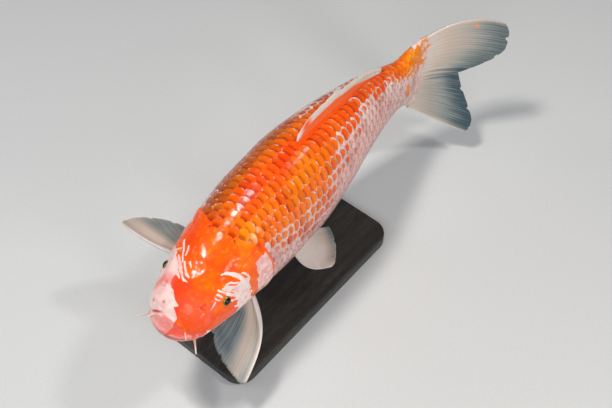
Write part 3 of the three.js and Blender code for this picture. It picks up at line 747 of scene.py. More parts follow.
def build_fin(material, name, place, rays, columns, thickness, nodes, see_through_shade, ragged=0.012, lead=0.0,
              edges=(0, 1), leading=(0,), dyed=None, yellow=0.0, crest=0.15):
    """Thin plate over place(u, v): u runs along the root, v from the root to the edge.

    The argument after nodes gives, over (u, v), the painted blue-grey shade of the membrane, dark seen
    through it where it is thin; dyed(u, v) is how orange it is, and yellow shifts that orange.
    lead thickens the leading rays and crest is the height of the others.
    """
    columns = columns
    per_ray = 24
    u, v = np.meshgrid(np.linspace(*edges, int(rays * per_ray * (edges[1] - edges[0])) + 1),
                       np.linspace(0, 1, columns + 1), indexing="ij")
    profile = ray_profile(u, v, rays)
    tips = ray_profile(u, 1.0, rays)
    nicks = np.maximum(0, np.sin(u * rays * 2.3 + 1) * np.sin(u * rays * 0.9 + 2)) ** 2
    reach = v * (1 + ragged * (tips - 0.5) - 3 * ragged * nicks * ramp(v, 0.5, 1))
    middle = place(u, reach)
    ahead = np.gradient(middle, axis=0)
    out = np.gradient(middle, axis=1)
    normals = unit(np.cross(ahead, out))
    half = mix(thickness, 0.55, np.sqrt(v)) / 2
    crest = crest * mix(1.0, 0.35, v) * (profile - 0.5)
    half = half + crest * ramp(v, 0.0, 0.15)
    for edge in leading:
        half = half + lead * bell(u - edge, 0.035) * (1 - 0.7 * v)
    half = half * (1 - 0.45 * ramp(v, 0.93, 1))
    points = np.vstack([(middle + sign * normals * half[..., None]).reshape(-1, 3) for sign in (1, -1)])
    dye = dyed(u, v) if dyed else 0 * u
    facts = {"profile": profile, "reach": v, "ray": u * rays, "see_through_shade": see_through_shade(u, v), "dye": dye,
             "yellow": yellow + 0 * u}
    facts = {label: np.tile(value.ravel(), 2) for label, value in facts.items()}
    build_piece(name, bend(points), [shell_faces(*u.shape)], material, nodes, facts)


def fan(at, angle, base, lead, trail_to, bow, length, side):
    """Spread of a paired fin: its rays start along the base and turn from lead to trail_to."""
    mirror = np.array([1, side, 1])
    first, last = unit(np.array(lead) * mirror), unit(np.array(trail_to) * mirror)
    root = over_skin(at, side * np.radians(angle), -FIN_SINK - 1.0)
    long = curve(length)

    def place(u, v):
        ray = unit(mix(first, last, u[..., None])) * (long(u) * v)[..., None]
        swing = (np.sin(np.pi * np.minimum(v, 1)) * (1 - u))[..., None]
        return root + np.array(base) * mirror * (u[..., None] - 0.5) + ray + np.array(bow) * mirror * swing

    return place


PECTORAL_LEFT = dict(
    at=121, angle=142, base=(-14, -5, -4), lead=(-0.73, 0.46, -0.5), trail_to=(-0.89, -0.21, -0.4),
    bow=(7, 14, 11), length=((0, 113), (0.25, 96), (0.55, 75), (0.85, 56), (1, 54)), side=-1)
PECTORAL_RIGHT = dict(
    at=121, angle=142, base=(14, -5, -4), lead=(-0.16, 0.96, 0.16), trail_to=(0.42, 0.9, -0.16),
    bow=(-8, 0, 6), length=((0, 100), (0.25, 94), (0.55, 78), (0.85, 60), (1, 50)), side=1)
PELVIC = dict(
    at=216, angle=150, base=(15, -1, 0), lead=(0.26, 0.94, -0.22), trail_to=(0.79, 0.26, -0.55),
    bow=(-16.5, 6.4, 0.9), length=((0, 63), (0.33, 63.4), (0.66, 66.8), (1, 69.6)))
BACK_FIN = dict(start=240, end=424, lean=((0, 35), (0.3, 50), (1, 60)), sweep=0.9,
                tall=((0, 7), (0.1, 11), (0.4, 12), (0.5, 9.5), (0.6, 8.5), (0.75, 8), (0.9, 6), (1, 3)))
ANAL_FIN = dict(start=374, end=410, length=((0, 52), (0.3, 50), (1, 32)))
TAIL_WAVE, BULGE_TOWARDS_EDGE = 3, 1.5
# Orange specks: strength, middle and half size, each across the tail fin and towards its edge.
TAIL_SPECKS = (
    (0.75, 0.9, 0.66, 0.03, 0.025), (0.3, 0.66, 0.36, 0.03, 0.02),
    (0.25, 0.6, 0.62, 0.02, 0.02), (0.3, 0.8, 0.22, 0.03, 0.04),
)
# Edge of each lobe: (share of the root from the fork, distance behind the snout, height from the fork).
UPPER_LOBE = dict(root_half=57, bulge=6.5, edge=(
    (0, 568, 0), (0.15, 582, 9), (0.3, 597, 21), (0.45, 610, 35),
    (0.6, 617, 50), (0.75, 616.5, 63), (0.88, 613.5, 75), (1, 606, 85)))
LOWER_LOBE = dict(root_half=46, bulge=5.3, edge=(
    (0, 567.5, 0), (0.2, 575, 16), (0.4, 586, 35), (0.6, 597, 53),
    (0.8, 606, 71), (0.92, 606.5, 83), (1, 601, 90)))


def back_fin(u, v):
    root = over_skin(mix(BACK_FIN["start"], BACK_FIN["end"], u), 0 * u, -FIN_SINK + 0 * u)
    rise = (curve(BACK_FIN["tall"])(u) + FIN_SINK) * v
    tilt = np.radians(curve(BACK_FIN["lean"])(u))
    return root + np.stack([BACK_FIN["sweep"] * rise, np.sin(tilt) * rise, np.cos(tilt) * rise], -1)


def anal_fin(u, v):
    root = over_skin(mix(ANAL_FIN["start"], ANAL_FIN["end"], u), np.pi + 0 * u, -FIN_SINK + 0 * u)
    reach = curve(ANAL_FIN["length"])(u) * v
    return root + np.stack([(0.75 + 0.15 * u) * reach, 0.2 * reach, -0.6 * reach], -1)


def tail_fin(w, v):
    """Both lobes: w runs from -1 at the lower edge over 0 at the fork to 1 at the upper edge."""
    u, side, up = np.abs(w), np.sign(w), ramp(w, -0.001, 0.001)
    edge_x = mix(curve(LOWER_LOBE["edge"], 1)(u), curve(UPPER_LOBE["edge"], 1)(u), up)
    edge_z = mix(curve(LOWER_LOBE["edge"], 2)(u), curve(UPPER_LOBE["edge"], 2)(u), up)
    root_z = mix(LOWER_LOBE["root_half"], UPPER_LOBE["root_half"], up) * u
    bulge = mix(LOWER_LOBE["bulge"], UPPER_LOBE["bulge"], up)
    swell = bulge * u * u * np.sin(np.pi * v ** BULGE_TOWARDS_EDGE)
    wave = TAIL_WAVE * np.sin(2.4 * u + 0.6) * v * v
    pleats = bell(w + 0.05, 0.028) - bell(w - 0.03, 0.028) + bell(w + 0.14, 0.025) - bell(w - 0.12, 0.03)
    pleat = 1.2 * pleats * np.sin(np.pi * np.clip(v, 0, 1))
    x, z = mix(STALK_END - FIN_SINK, edge_x, v), side * (mix(root_z, edge_z, v) + swell)
    return np.stack([x, wave + pleat, z], -1)


def make_fins(material):
    def speck(u, v, at_u, at_v, long_u, long_v):
        return bell(np.hypot((u - at_u) / long_u, (v - at_v) / long_v), 1)

    # These give each fin's painted blue-grey shade: dark painted as seen through the membrane where it is
    # thin.
    def pectoral_see_through_shade(u, v):
        # The fleshy leading band is wide at the root and narrows to a line; the skin sinks behind it, and a
        # painted shadow line darkens that hollow.
        behind_band = u - mix(0.16, 0.015, ramp(v, 0.05, 0.6))
        painted_shadow_line = 0.2 * bell(behind_band - 0.06, 0.05)
        thin = 0.5 * ramp(u + 0.12 * v, 0.3, 0.55) * ramp(v, 0.08, 0.4) * (1 - 0.3 * ramp(v, 0.85, 1))
        return 0.36 * ramp(behind_band, 0.0, 0.04) + painted_shadow_line + thin + 0.14 * ramp(v, 0.7, 1)

    def pelvic_see_through_shade(u, v):
        distal = 0.5 * ramp(v, 0.72, 1.0) * ramp(u, 0.0, 0.3)
        return 0.14 + distal + 0.28 * ramp(v, 0.25, 0.8) * ramp(u, 0.45, 0.9)

    def back_see_through_shade(u, v):
        return 0.12 + 0.22 * bell(v - 0.45, 0.2) * ramp(u, 0.05, 0.3) + 0.1 * v

    def back_dyed(u, v):
        level = curve(((0, 0.3), (0.1, 0.52), (0.6, 0.5), (0.75, 0.26), (0.9, 0.08), (1, 0)))(u)
        return np.maximum(1 - ramp(v, level - 0.06, level + 0.12), speck(u, v, 0.09, 0.72, 0.05, 0.3))

    def tail_see_through_shade(w, v):
        towards_edge = 0.2 + 0.3 * ramp(v, 0.05, 0.6) + 0.42 * ramp(v, 0.5, 1.0) + 0.14 * ramp(-w, 0, 0.3)
        # Painted shade: darker blue-grey along the pleats, where the fin folds.
        pleats = bell(w + 0.02, 0.025) + bell(w - 0.1, 0.03) + bell(w + 0.12, 0.03)
        return towards_edge * mix(0.35, 1, ramp(1 - np.abs(w), 0.0, 0.07)) + 0.2 * pleats * ramp(v, 0.1, 0.5)

    def tail_dyed(w, v):
        streak = 0.5 + 0.5 * np.sin(w * 31) * np.sin(w * 13 + 1)
        root = (1 - ramp(v, 0.03 + 0.05 * streak, 0.07 + 0.13 * streak)) * ramp(w, -0.02, 0.12)
        specks = sum(strength * speck(w, v, *place) for strength, *place in TAIL_SPECKS)
        return np.maximum(root, specks)

    build = partial(build_fin, material)
    build("left_pectoral_fin", fan(**PECTORAL_LEFT), 13, 44, 2.4, ["pectoral_fin_left"], pectoral_see_through_shade,
          lead=1.3)
    build("right_pectoral_fin", fan(**PECTORAL_RIGHT), 13, 44, 2.4, ["pectoral_fin_right"],
          lambda u, v: 0.8 * pectoral_see_through_shade(u, v), lead=1.1,
          dyed=lambda u, v: speck(u, v, 0.3, 0.3, 0.2, 0.05))
    for side, side_name in SIDES:
        build(f"{side_name}_pelvic_fin", fan(side=side, **PELVIC), 9, 36, 2.0, [f"pelvic_fin_{side_name}"],
              pelvic_see_through_shade, lead=0.5)
    build("dorsal_fin", back_fin, 20, 10, 2.0, ["back_fin"], back_see_through_shade, ragged=0.03, lead=0.5, dyed=back_dyed)
    build("ventral_fin", anal_fin, 7, 30, 2.0, ["anal_fin"], pelvic_see_through_shade, lead=0.5)
    build("caudal_fin", tail_fin, 13, 46, 4.4, ["tail_fin_upper", "tail_fin_lower"], tail_see_through_shade, lead=0.6,
          edges=(-1, 1), leading=(-1, 1), dyed=tail_dyed, yellow=1.0, crest=0.08)


# ---- eyes and barbels ----
PUPIL, IRIS = 0.7, 0.88  # as shares of the radius of the ball, seen along the axis of the eye
CORNEA_BULGE = 0.45


def make_eyes(material):
    centre, axis = eye_seat()
    aside = unit(np.cross(axis, (1.0, 0, 0)))
    upwards = np.cross(axis, aside)
    rings, columns = 48, 64
    turn = np.linspace(0, np.radians(112), rings + 1)[1:, None]
    # The clear cornea bulges over the pupil, and the lens behind it fills the pupil.
    radius = EYE_RADIUS + CORNEA_BULGE * bell(turn, 0.62)
    turned = np.cos(turn)[..., None] * axis + np.sin(turn)[..., None] * circle(columns, aside, upwards)
    ball = centre + radius[..., None] * turned
    front = centre + (EYE_RADIUS + CORNEA_BULGE) * axis
    points = np.vstack([front, ball.reshape(-1, 3)])
    faces = grid_faces(rings, columns, 1, ring=True)
    k = np.arange(columns)
    cap = np.stack([0 * k, 1 + k, 1 + (k + 1) % columns], -1)
    back = (1 + (rings - 1) * columns + k[::-1])[None]
    from_axis = np.broadcast_to(np.sin(turn) + (turn > np.pi / 2), (rings, columns))
    facts = {"from_axis": np.append(0, from_axis)}
    for side, side_name in SIDES:
        build_piece(f"{side_name}_eye", bend(points * (1, side, 1)), [faces, cap, back], material,
                    [f"eye_{side_name}"], facts)


BARBELS = {
    # root, reach on the right and on the left, sag, radius at the root and at the tip
    "corner_barbel": ((17, 27, -11), ((-7, 16, -13), (-9, 10, -13)), 2, 1.6, 0.55),
    "lip_barbel": ((9, 18, 4.5), ((-6, 7, -3), (-6, 7, -3)), -1, 1.2, 0.45),
}


def make_barbels(material):
    rings, columns = 40, 20
    share = np.linspace(0, 1, rings)
    for kind, (root, reaches, sag, thick, thin) in BARBELS.items():
        for (side, side_name), reach in zip(SIDES, reaches):
            start = np.array(root) * (1, side, 1)
            line = start + np.outer(share, np.array(reach) * (1, side, 1))
            line[:, 2] -= sag * np.sin(np.pi * share)
            line[:, 0] += 0.5 * np.sin(4.2 * share) * share
            radius = mix(thick, thin, share ** 0.8) * np.sqrt(1 - np.clip((share - 0.9) / 0.101, 0, 1) ** 2)
            radius = radius * (1 + 0.35 * bell(share, 0.14)) * (1 + 0.02 * np.sin(share * 95))
            along = unit(np.gradient(line, axis=0))
            first = unit(np.cross(along, (0.31, 0.2, 0.93)))
            spread = circle(columns, first, np.cross(along, first))
            points = line[:, None] + spread * radius[:, None, None]
            build_piece(f"{side_name}_{kind}", bend(points.reshape(-1, 3)), tube_faces(rings, columns),
                        material, [f"{kind}_{side_name}"], {"reach": np.repeat(share, columns)})


# ---- stand ----
QUARTER_TURN = np.radians(np.linspace(0, 90, 7))
CORNER = 24  # radius of the plinth's corners
TOP_EDGE = 2.2  # radius of the edge of its top


def make_plinth(material):
    low, high = (np.array(corner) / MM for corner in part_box("stand_base"))
    half, thick = (high - low)[:2] / 2, high[2] - low[2]
    outline = []
    for quarter, signs in enumerate(((1, 1), (-1, 1), (-1, -1), (1, -1))):
        turn = np.radians(np.linspace(90 * quarter, 90 * quarter + 90, 17))
        outline.append(signs * (half - CORNER) + CORNER * np.stack([np.cos(turn), np.sin(turn)], -1))
    outline = np.vstack(outline)
    inwards = unit(outline - np.sign(outline) * (half - CORNER))
    # Cross-section of the edge from below: (distance inwards, height).
    profile = [(12, 0), (1.5, 0), (0.7, 0.4), (0, 1.4), (0, thick - 2.5)]
    profile += [(TOP_EDGE * (1 - math.cos(t)), thick - TOP_EDGE * (1 - math.sin(t))) for t in QUARTER_TURN]
    profile += [(5, thick), (12, thick)]
    rings = [np.insert(outline - inwards * inset, 2, level, axis=1) for inset, level in profile]
    middle = np.append((high + low)[:2] / 2, 0)
    build_piece("stand_plinth", (np.vstack(rings) + middle) * MM, tube_faces(len(rings), len(outline)),
                material, ["stand_base"])
    return high[2]


def make_pillar(node, plinth_top, material):
    """Rod with a flared foot on the plinth and a ring under the belly."""
    low, high = (np.array(corner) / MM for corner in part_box(node))
    radius, foot, belly = (high - low)[0] / 2, plinth_top, high[2] - 10
    # Rows of (distance out of the rod, height).
    rows = [(0, low[2]), (0, foot - 1), (5.4, foot - 0.5), (5.8, foot + 0.3), (5.8, foot + 1.2)]
    rows += [(5.2 * (1 - math.sin(t)), foot + 1.6 + 4.2 * (1 - math.cos(t))) for t in QUARTER_TURN]
    rows += [(0, mix(foot + 6, belly, share)) for share in np.linspace(0.05, 0.93, 12)]
    rows += [(0.1, belly - 5.2), (1.3, belly - 4.8), (1.6, belly - 4.2), (1.6, belly - 1.4),
             (1.2, belly - 0.8), (0, belly - 0.4), (0, high[2])]
    out, up = np.array(rows).T[..., None, None]
    columns = 48
    rings = (radius + out) * circle(columns, (1, 0, 0), (0, 1, 0)) + up * (0, 0, 1)
    centre = np.append(((high + low) / 2)[:2], 0)
    build_piece(node.replace("rod", "pillar"), (rings.reshape(-1, 3) + centre) * MM,
                tube_faces(len(rows), columns), material, [node])


def make_stand(wood, steel):
    plinth_top = make_plinth(wood)
    for node in ("stand_rod_front", "stand_rod_rear"):
        make_pillar(node, plinth_top, steel)


# ---- finishes ----
FACTOR, FIRST, SECOND = 0, 6, 7  # inputs of the Mix node when it mixes colours


def linear(code):
    """Linear colour of an sRGB hex code."""
    parts = [int(code[i:i + 2], 16) / 255 for i in (1, 3, 5)]
    return (*(p / 12.92 if p <= 0.04045 else ((p + 0.055) / 1.055) ** 2.4 for p in parts), 1.0)


def add_node(tree, kind, *inputs, out=None, **settings):
    """Adds a node with its settings and gives its output named out, or else its first one in use.

    kind is its type, without ShaderNode in front. The inputs are given in their order, or in a dict:
    another node's output, a number or vector, or the hex code of a colour.
    """
    node = tree.nodes.new(kind if kind.startswith("NodeGroup") else "ShaderNode" + kind)
    for name, value in settings.items():
        setattr(node, name, value)
    in_dict = len(inputs) == 1 and isinstance(inputs[0], dict)
    for key, value in inputs[0].items() if in_dict else enumerate(inputs):
        if isinstance(value, bpy.types.NodeSocket):
            tree.links.new(value, node.inputs[key])
        else:
            node.inputs[key].default_value = linear(value) if isinstance(value, str) else value
    in_use = [socket for socket in node.outputs if socket.enabled]
    return node.outputs[out] if out else next(iter(in_use), None)


def given_facts(add, *labels):
    """Place of each point on its piece, and the facts of these labels that the piece carries."""
    facts = [add("Attribute", out="Fac", attribute_name=label) for label in labels]
    return add("TexCoord", out="Object"), *facts


def new_finish(name, *labels):
    """Empty material, a function that adds nodes to it, and what given_facts gives."""
    material = bpy.data.materials.new(name)
    material.use_nodes = True
    material.node_tree.nodes.clear()
    add = partial(add_node, material.node_tree)
    return material, add, *given_facts(add, *labels)


def complete(material, inputs):
    """Gives the material its shader, with these values and outputs on the shader's own inputs."""
    shader = add_node(material.node_tree, "BsdfPrincipled", inputs)
    add_node(material.node_tree, "OutputMaterial", {"Surface": shader})
    return material


def pigment_group():
    """Colour of the skin and of the scales, from the markings that both carry.

    White koi skin is thin and pinkish; the orange lies on it as a dense layer of pigment cells.
    """
    tree = bpy.data.node_groups.new("koi pigments", "ShaderNodeTree")
    tree.interface.new_socket("Orange", in_out="INPUT", socket_type="NodeSocketFloat")
    tree.interface.new_socket("Colour", in_out="OUTPUT", socket_type="NodeSocketColor")
    add = partial(add_node, tree)
    given = add("NodeGroupInput")
    place, warmth, blush, blood, painted_shade, silver = given_facts(
        add, "warmth", "blush", "blood", "painted_shade", "silver")
    # Clouds of pigment, spots where it is thin, and its cells, drawn coarser than the real 0.1 mm.
    clouds, spots, cells = (
        add("TexNoise", {"Vector": place, "Scale": 1 / (size * MM), "Detail": detail})
        for size, detail in ((9, 3.0), (4.5, 2.0), (1.2, 2.0)))
    cloudy = add("MapRange", clouds, 0.4, 0.66)
    redder = add("Math", warmth, 0.0, operation="MAXIMUM", use_clamp=True)
    yellower = add("Math", warmth, -1.0, operation="MULTIPLY", use_clamp=True)
    less_red = add("Math", 1.0, redder, operation="SUBTRACT", use_clamp=True)
    thin = add("MapRange", spots, 0.52, 0.7, 0.0, 0.4)
    thin = add("Math", thin, less_red, operation="MULTIPLY")
    # Painted shade: the orange is browned where the flanks are turned from the light.
    painted_shade_brown = add("Math", painted_shade, 0.8, operation="MULTIPLY")
    grain = add("MapRange", cells, 0.3, 0.7, -0.16, 0.16)
    amount = add("Math", given, grain, operation="ADD")
    covered = add("MapRange", amount, 0.38, 0.62, interpolation_type="SMOOTHSTEP")

    pale_layers = ((cloudy, "#f4cdc6"), (silver, "#cbaeac"))
    orange_layers = (
        (cloudy, "#fd5404"), (redder, "#fa3a04"), (yellower, "#ff9208"), (thin, "#ffa024"),
        (painted_shade_brown, "#7f3410"))
    laid = []
    for ground, layers in (("#fbe9e5", pale_layers), ("#ff6205", orange_layers)):
        colour = ground
        for share, tone in layers:
            colour = add("Mix", {FACTOR: share, FIRST: colour, SECOND: tone}, data_type="RGBA")
        laid.append(colour)
    colour, orange = laid
    for share, over in ((covered, orange), (blush, "#f2675c"), (blood, "#c4161c")):
        colour = add("Mix", {FACTOR: share, FIRST: colour, SECOND: over}, data_type="RGBA")
    add("NodeGroupOutput", colour)
    return tree


WET = {  # a soft, slightly see-through body under a clear film of slime and water
    "IOR": 1.36, "Specular IOR Level": 0.08, "Coat Weight": 0.8, "Coat Roughness": 0.035, "Coat IOR": 1.33,
    "Subsurface Weight": 0.05, "Subsurface Radius": (1.0, 0.32, 0.18), "Subsurface Scale": 4 * MM,
}


def wet(add, place, grain_mm, rough, film_mm=4.0):
    """Shader inputs of wet living skin, with an uneven gloss, and a fine grain for its bump."""
    patches = add("TexNoise", {"Vector": place, "Scale": 1 / (11 * MM), "Detail": 3.0})
    gloss = add("MapRange", patches, 0.3, 0.7, rough - 0.06, rough + 0.1)
    # The film is uneven over a few millimetres, which breaks what it mirrors into spots.
    film = add("TexNoise", {"Vector": place, "Scale": 1 / (film_mm * MM), "Detail": 3.0})
    waves = add("Bump", {"Strength": 0.9, "Distance": 0.00009 * film_mm, "Height": film})
    grain = add("TexNoise", {"Vector": place, "Scale": 1 / (grain_mm * MM), "Detail": 4.0})
    return {**WET, "Roughness": gloss, "Coat Normal": waves}, grain


def skin_finish(pigments):
    """Living skin of the head, smooth and slimy: reads as soft, wet and slightly see-through."""
    material, add, place, orange, mouth = new_finish("wet fish skin over bone", "orange", "mouth")
    pigment = add("Group", orange, node_tree=pigments)
    # Painted shade: the slit of the mouth is darkened to a deep red, for the shade inside the opening.
    painted_mouth_shade = add("MapRange", mouth, 0.35, 1.0, 0.0, 0.9)
    colour = add("Mix", {FACTOR: painted_mouth_shade, FIRST: pigment, SECOND: "#5e120f"}, data_type="RGBA")
    inputs, grain = wet(add, place, 0.7, 0.36, film_mm=8.0)
    pores = add("TexVoronoi", {"Vector": place, "Scale": 1 / (3.4 * MM)}, feature="F1")
    pits = add("MapRange", pores, 0.0, 0.25, -0.6, 0.0)
    relief = add("Math", grain, pits, operation="ADD")
    bump = add("Bump", {"Strength": 0.25, "Distance": 0.3 * MM, "Height": relief})
    return complete(material, {**inputs, "Base Color": colour, "Normal": bump})


def scale_finish(pigments):
    """Scales under a thin skin: an orange middle, a pale see-through edge with painted glints, a painted
    shadow at the root and fine rays.
    """
    material, add, place, orange, to_edge, across, tint = new_finish(
        "koi scale, bone under wet skin", "orange", "to_edge", "across", "tint")
    # No outline on a scale is quite even: it wanders by about a millimetre.
    ripple = add("TexNoise", {"Vector": place, "Scale": 1 / (4.5 * MM), "Detail": 2.0})
    ripple = add("MapRange", ripple, 0.3, 0.7, -1.3, 1.3)
    uneven_edge = add("Math", to_edge, ripple, operation="ADD")
    # The orange of a scale shrinks to a lozenge in the middle of its bare part before it is gone.
    behind = add("Math", uneven_edge, 5.4, operation="SUBTRACT")
    behind = add("Math", behind, 4.6, operation="DIVIDE")
    aside = add("Math", across, 8.4, operation="DIVIDE")
    from_middle = add("CombineXYZ", {"X": behind, "Y": aside})
    from_middle = add("VectorMath", from_middle, operation="LENGTH")
    size = add("MapRange", orange, 0.08, 0.38, 0.0, 0.86)
    closed = add("MapRange", orange, 0.55, 0.92, 0.0, 1.3)
    uneven = add("MapRange", tint, 0.0, 1.0, -0.22, 0.22)
    for more in (closed, uneven):
        size = add("Math", size, more, operation="ADD")
    amount = add("Math", size, from_middle, operation="SUBTRACT")
    amount = add("MapRange", amount, -0.35, 0.35)
    colour = add("Group", amount, node_tree=pigments)
    # The last 2 mm is clear bone and paler; in places a pale line along the edge of an orange scale is a
    # painted glint on its rim.
    places = add("TexNoise", {"Vector": place, "Scale": 1 / (7 * MM), "Detail": 2.0})
    places = add("MapRange", places, 0.54, 0.64, 0.02, 0.85)
    edge = add("MapRange", uneven_edge, 0.8, 2.6, 1.0, 0.0)
    edge = add("Math", edge, places, operation="MULTIPLY")
    # It is darker where the next scale lies over it, a painted shadow of that scale, and some scales are
    # duller all over.
    deep = add("MapRange", uneven_edge, 5.5, 10.0, 0.0, 0.7)
    dull_and_painted_shadow = add("Math", tint, 3.0, operation="POWER")
    dull_and_painted_shadow = add("Math", dull_and_painted_shadow, 0.34, deep, operation="MULTIPLY_ADD", use_clamp=True)
    for share, tone, way in ((edge, "#ffc8ac", "MIX"), (dull_and_painted_shadow, "#b4602a", "MULTIPLY")):
        colour = add("Mix", {FACTOR: share, FIRST: colour, SECOND: tone},
                     data_type="RGBA", blend_type=way)
    inputs, grain = wet(add, place, 0.9, 0.36, film_mm=3.0)
    # Rays spread from the root of the scale, about 0.9 mm apart at its edge.
    from_root = add("Math", 19.0, to_edge, operation="SUBTRACT")
    rays = add("Math", across, from_root, operation="ARCTAN2")
    rays = add("Math", rays, 130.0, operation="MULTIPLY")
    rays = add("Math", rays, operation="SINE")
    rays = add("Math", rays, 0.12, operation="MULTIPLY")
    relief = add("Math", grain, rays, operation="ADD")
    bump = add("Bump", {"Strength": 0.35, "Distance": 0.3 * MM, "Height": relief})
    return complete(material, {**inputs, "Base Color": colour, "Normal": bump})


def fin_finish():
    """Fin: jointed bony rays in a thin wet membrane, milky at the root; painted shade makes it blue-grey
    where it is thin.
    """
    material, add, place, profile, reach, ray, given_see_through_shade, dyed, yellow = new_finish(
        "fin rays and membrane", "profile", "reach", "ray", "see_through_shade", "dye", "yellow")
    clouds = add("TexNoise", {"Vector": place, "Scale": 1 / (14 * MM), "Detail": 3.0})
    cloudy = add("MapRange", clouds, 0.35, 0.7)
    streaks = add("CombineXYZ", {"X": ray, "Y": reach})
    streaky = add("TexNoise", {"Vector": streaks, "Scale": 2.2, "Detail": 2.0})
    streaky = add("MapRange", streaky, 0.3, 0.7, -0.1, 0.1)
    # The rays are paler than the membrane between them, which takes more of the painted blue-grey shade.
    between = add("MapRange", profile, 0.0, 0.45, 0.16, -0.04)
    see_through_shade = given_see_through_shade
    for share in (streaky, between):
        see_through_shade = add("Math", share, given_see_through_shade, see_through_shade, operation="MULTIPLY_ADD")
    # The more painted shade, the darker the membrane: from milky over tan and grey to dark blue-grey.
    colour = "#f4efec"
    shares = [(cloudy, "#e9deda")]
    for start, end, tone in ((0.0, 0.35, "#cdbdb0"), (0.35, 0.7, "#8d9492"), (0.7, 1.0, "#3c545e")):
        shares.append((add("MapRange", see_through_shade, start, end), tone))
    for share, tone in shares:
        colour = add("Mix", {FACTOR: share, FIRST: colour, SECOND: tone}, data_type="RGBA")
    dyed = add("MapRange", dyed, 0.1, 0.8, 0.0, 0.95)
    dye = add("Mix", {FACTOR: yellow, FIRST: "#f6601c", SECOND: "#fb9426"}, data_type="RGBA")
    colour = add("Mix", {FACTOR: dyed, FIRST: colour, SECOND: dye}, data_type="RGBA")
    inputs, grain = wet(add, place, 0.8, 0.3)
    # The rays are jointed every 2 % of their length.
    joints = add("Math", reach, 310.0, operation="MULTIPLY")
    joints = add("Math", joints, operation="SINE")
    joints = add("Math", joints, profile, operation="MULTIPLY")
    joints = add("Math", joints, 0.15, operation="MULTIPLY")
    relief = add("Math", grain, joints, operation="ADD")
    bump = add("Bump", {"Strength": 0.3, "Distance": 0.3 * MM, "Height": relief})
    return complete(material, {**inputs, "Subsurface Weight": 0.12, "Base Color": colour, "Normal": bump})


def barbel_finish():
    """Fleshy barbel: soft pink skin with fine rings, paler towards the tip."""
    material, add, place, reach = new_finish("soft barbel skin", "reach")
    noise = add("TexNoise", {"Vector": place, "Scale": 1 / (2 * MM), "Detail": 2.0})
    shift = add("Math", noise, 0.3, reach, operation="MULTIPLY_ADD", use_clamp=True)
    colour = add("Mix", {FACTOR: shift, FIRST: "#f19a88", SECOND: "#f7dcd2"}, data_type="RGBA")
    inputs, grain = wet(add, place, 0.5, 0.28)
    bump = add("Bump", {"Strength": 0.3, "Distance": 0.2 * MM, "Height": grain})
    return complete(material, {**inputs, "Base Color": colour, "Normal": bump})


def eye_finish():
    """Eye: a black pupil in a thin metallic iris, gold at the pupil and olive outside, under a wet cornea."""
    material, add, place, away = new_finish("eye under a clear cornea", "from_axis")
    mottle = add("TexNoise", {"Vector": place, "Scale": 1 / (0.9 * MM), "Detail": 3.0})
    shift = add("MapRange", mottle, 0.3, 0.7, -0.03, 0.03)
    away = add("Math", away, shift, operation="ADD")
    ring, outer, rim = (
        add("MapRange", away, start, end)
        for start, end in ((PUPIL, PUPIL + 0.035), (PUPIL + 0.05, IRIS - 0.03), (IRIS - 0.04, IRIS + 0.05)))
    iris = add("Mix", {FACTOR: outer, FIRST: "#b8a048", SECOND: "#5f6a30"}, data_type="RGBA")
    colour = "#050505"
    for share, over in ((ring, iris), (rim, "#2a1d10")):
        colour = add("Mix", {FACTOR: share, FIRST: colour, SECOND: over}, data_type="RGBA")
    shine = add("Math", ring, 0.5, operation="MULTIPLY")
    rough = add("MapRange", mottle, 0.3, 0.7, 0.22, 0.34)
    bump = add("Bump", {"Strength": 0.15, "Distance": 0.1 * MM, "Height": mottle})
    return complete(material, {
        "Base Color": colour, "Metallic": shine, "Roughness": rough, "Normal": bump,
        "Specular IOR Level": 0.2, "Coat Weight": 0.7, "Coat Roughness": 0.02, "Coat IOR": 1.38})


def wood_finish():
    """Ash stained black under satin lacquer: the open grain shows as fine lines along the plinth."""
    material, add, place = new_finish("black-stained ash, satin lacquer")
    # Growth rings about 6 mm apart, and pores drawn 0.7 mm wide, coarser than the real 0.3 mm. Both
    # are drawn out along the plinth.
    stretched = add("Mapping", {"Vector": place, "Scale": (0.06, 1.0, 1.0)})
    rings = {"Vector": stretched, "Scale": 1 / (6 * MM), "Detail": 3.0, "Distortion": 0.6}
    rings = add("TexNoise", rings)
    pores = add("TexNoise", {"Vector": stretched, "Scale": 1 / (0.7 * MM), "Detail": 2.0})
    open_pores = add("MapRange", pores, 0.5, 0.68)
    tone_share = add("MapRange", rings, 0.35, 0.65)
    colour = "#2b2927"
    for share, tone in ((tone_share, "#3c3834"), (open_pores, "#161412")):
        colour = add("Mix", {FACTOR: share, FIRST: colour, SECOND: tone}, data_type="RGBA")
    rough = add("MapRange", rings, 0.3, 0.7, 0.36, 0.5)
    bump = add("Bump", {"Strength": 0.35, "Distance": 0.2 * MM, "Height": open_pores}, invert=True)
    return complete(material, {"Base Color": colour, "Roughness": rough, "Normal": bump})


def steel_finish():
    """Stainless steel, ground along the rod: a soft grey metal with fine lengthwise lines."""
    material, add, place = new_finish("ground stainless steel")
    # Grinding lines drawn 0.5 mm wide, coarser than the real 0.05 mm.
    stretched = add("Mapping", {"Vector": place, "Scale": (1.0, 1.0, 0.02)})
    lines = add("TexNoise", {"Vector": stretched, "Scale": 1 / (0.5 * MM), "Detail": 2.0})
    colour = add("Mix", {FACTOR: lines, FIRST: "#a9abad", SECOND: "#c9cbcc"}, data_type="RGBA")
    rough = add("MapRange", lines, 0.3, 0.7, 0.22, 0.36)
    bump = add("Bump", {"Strength": 0.12, "Distance": 0.1 * MM, "Height": lines})
    return complete(material, {"Base Color": colour, "Metallic": 1.0, "Roughness": rough, "Normal": bump})


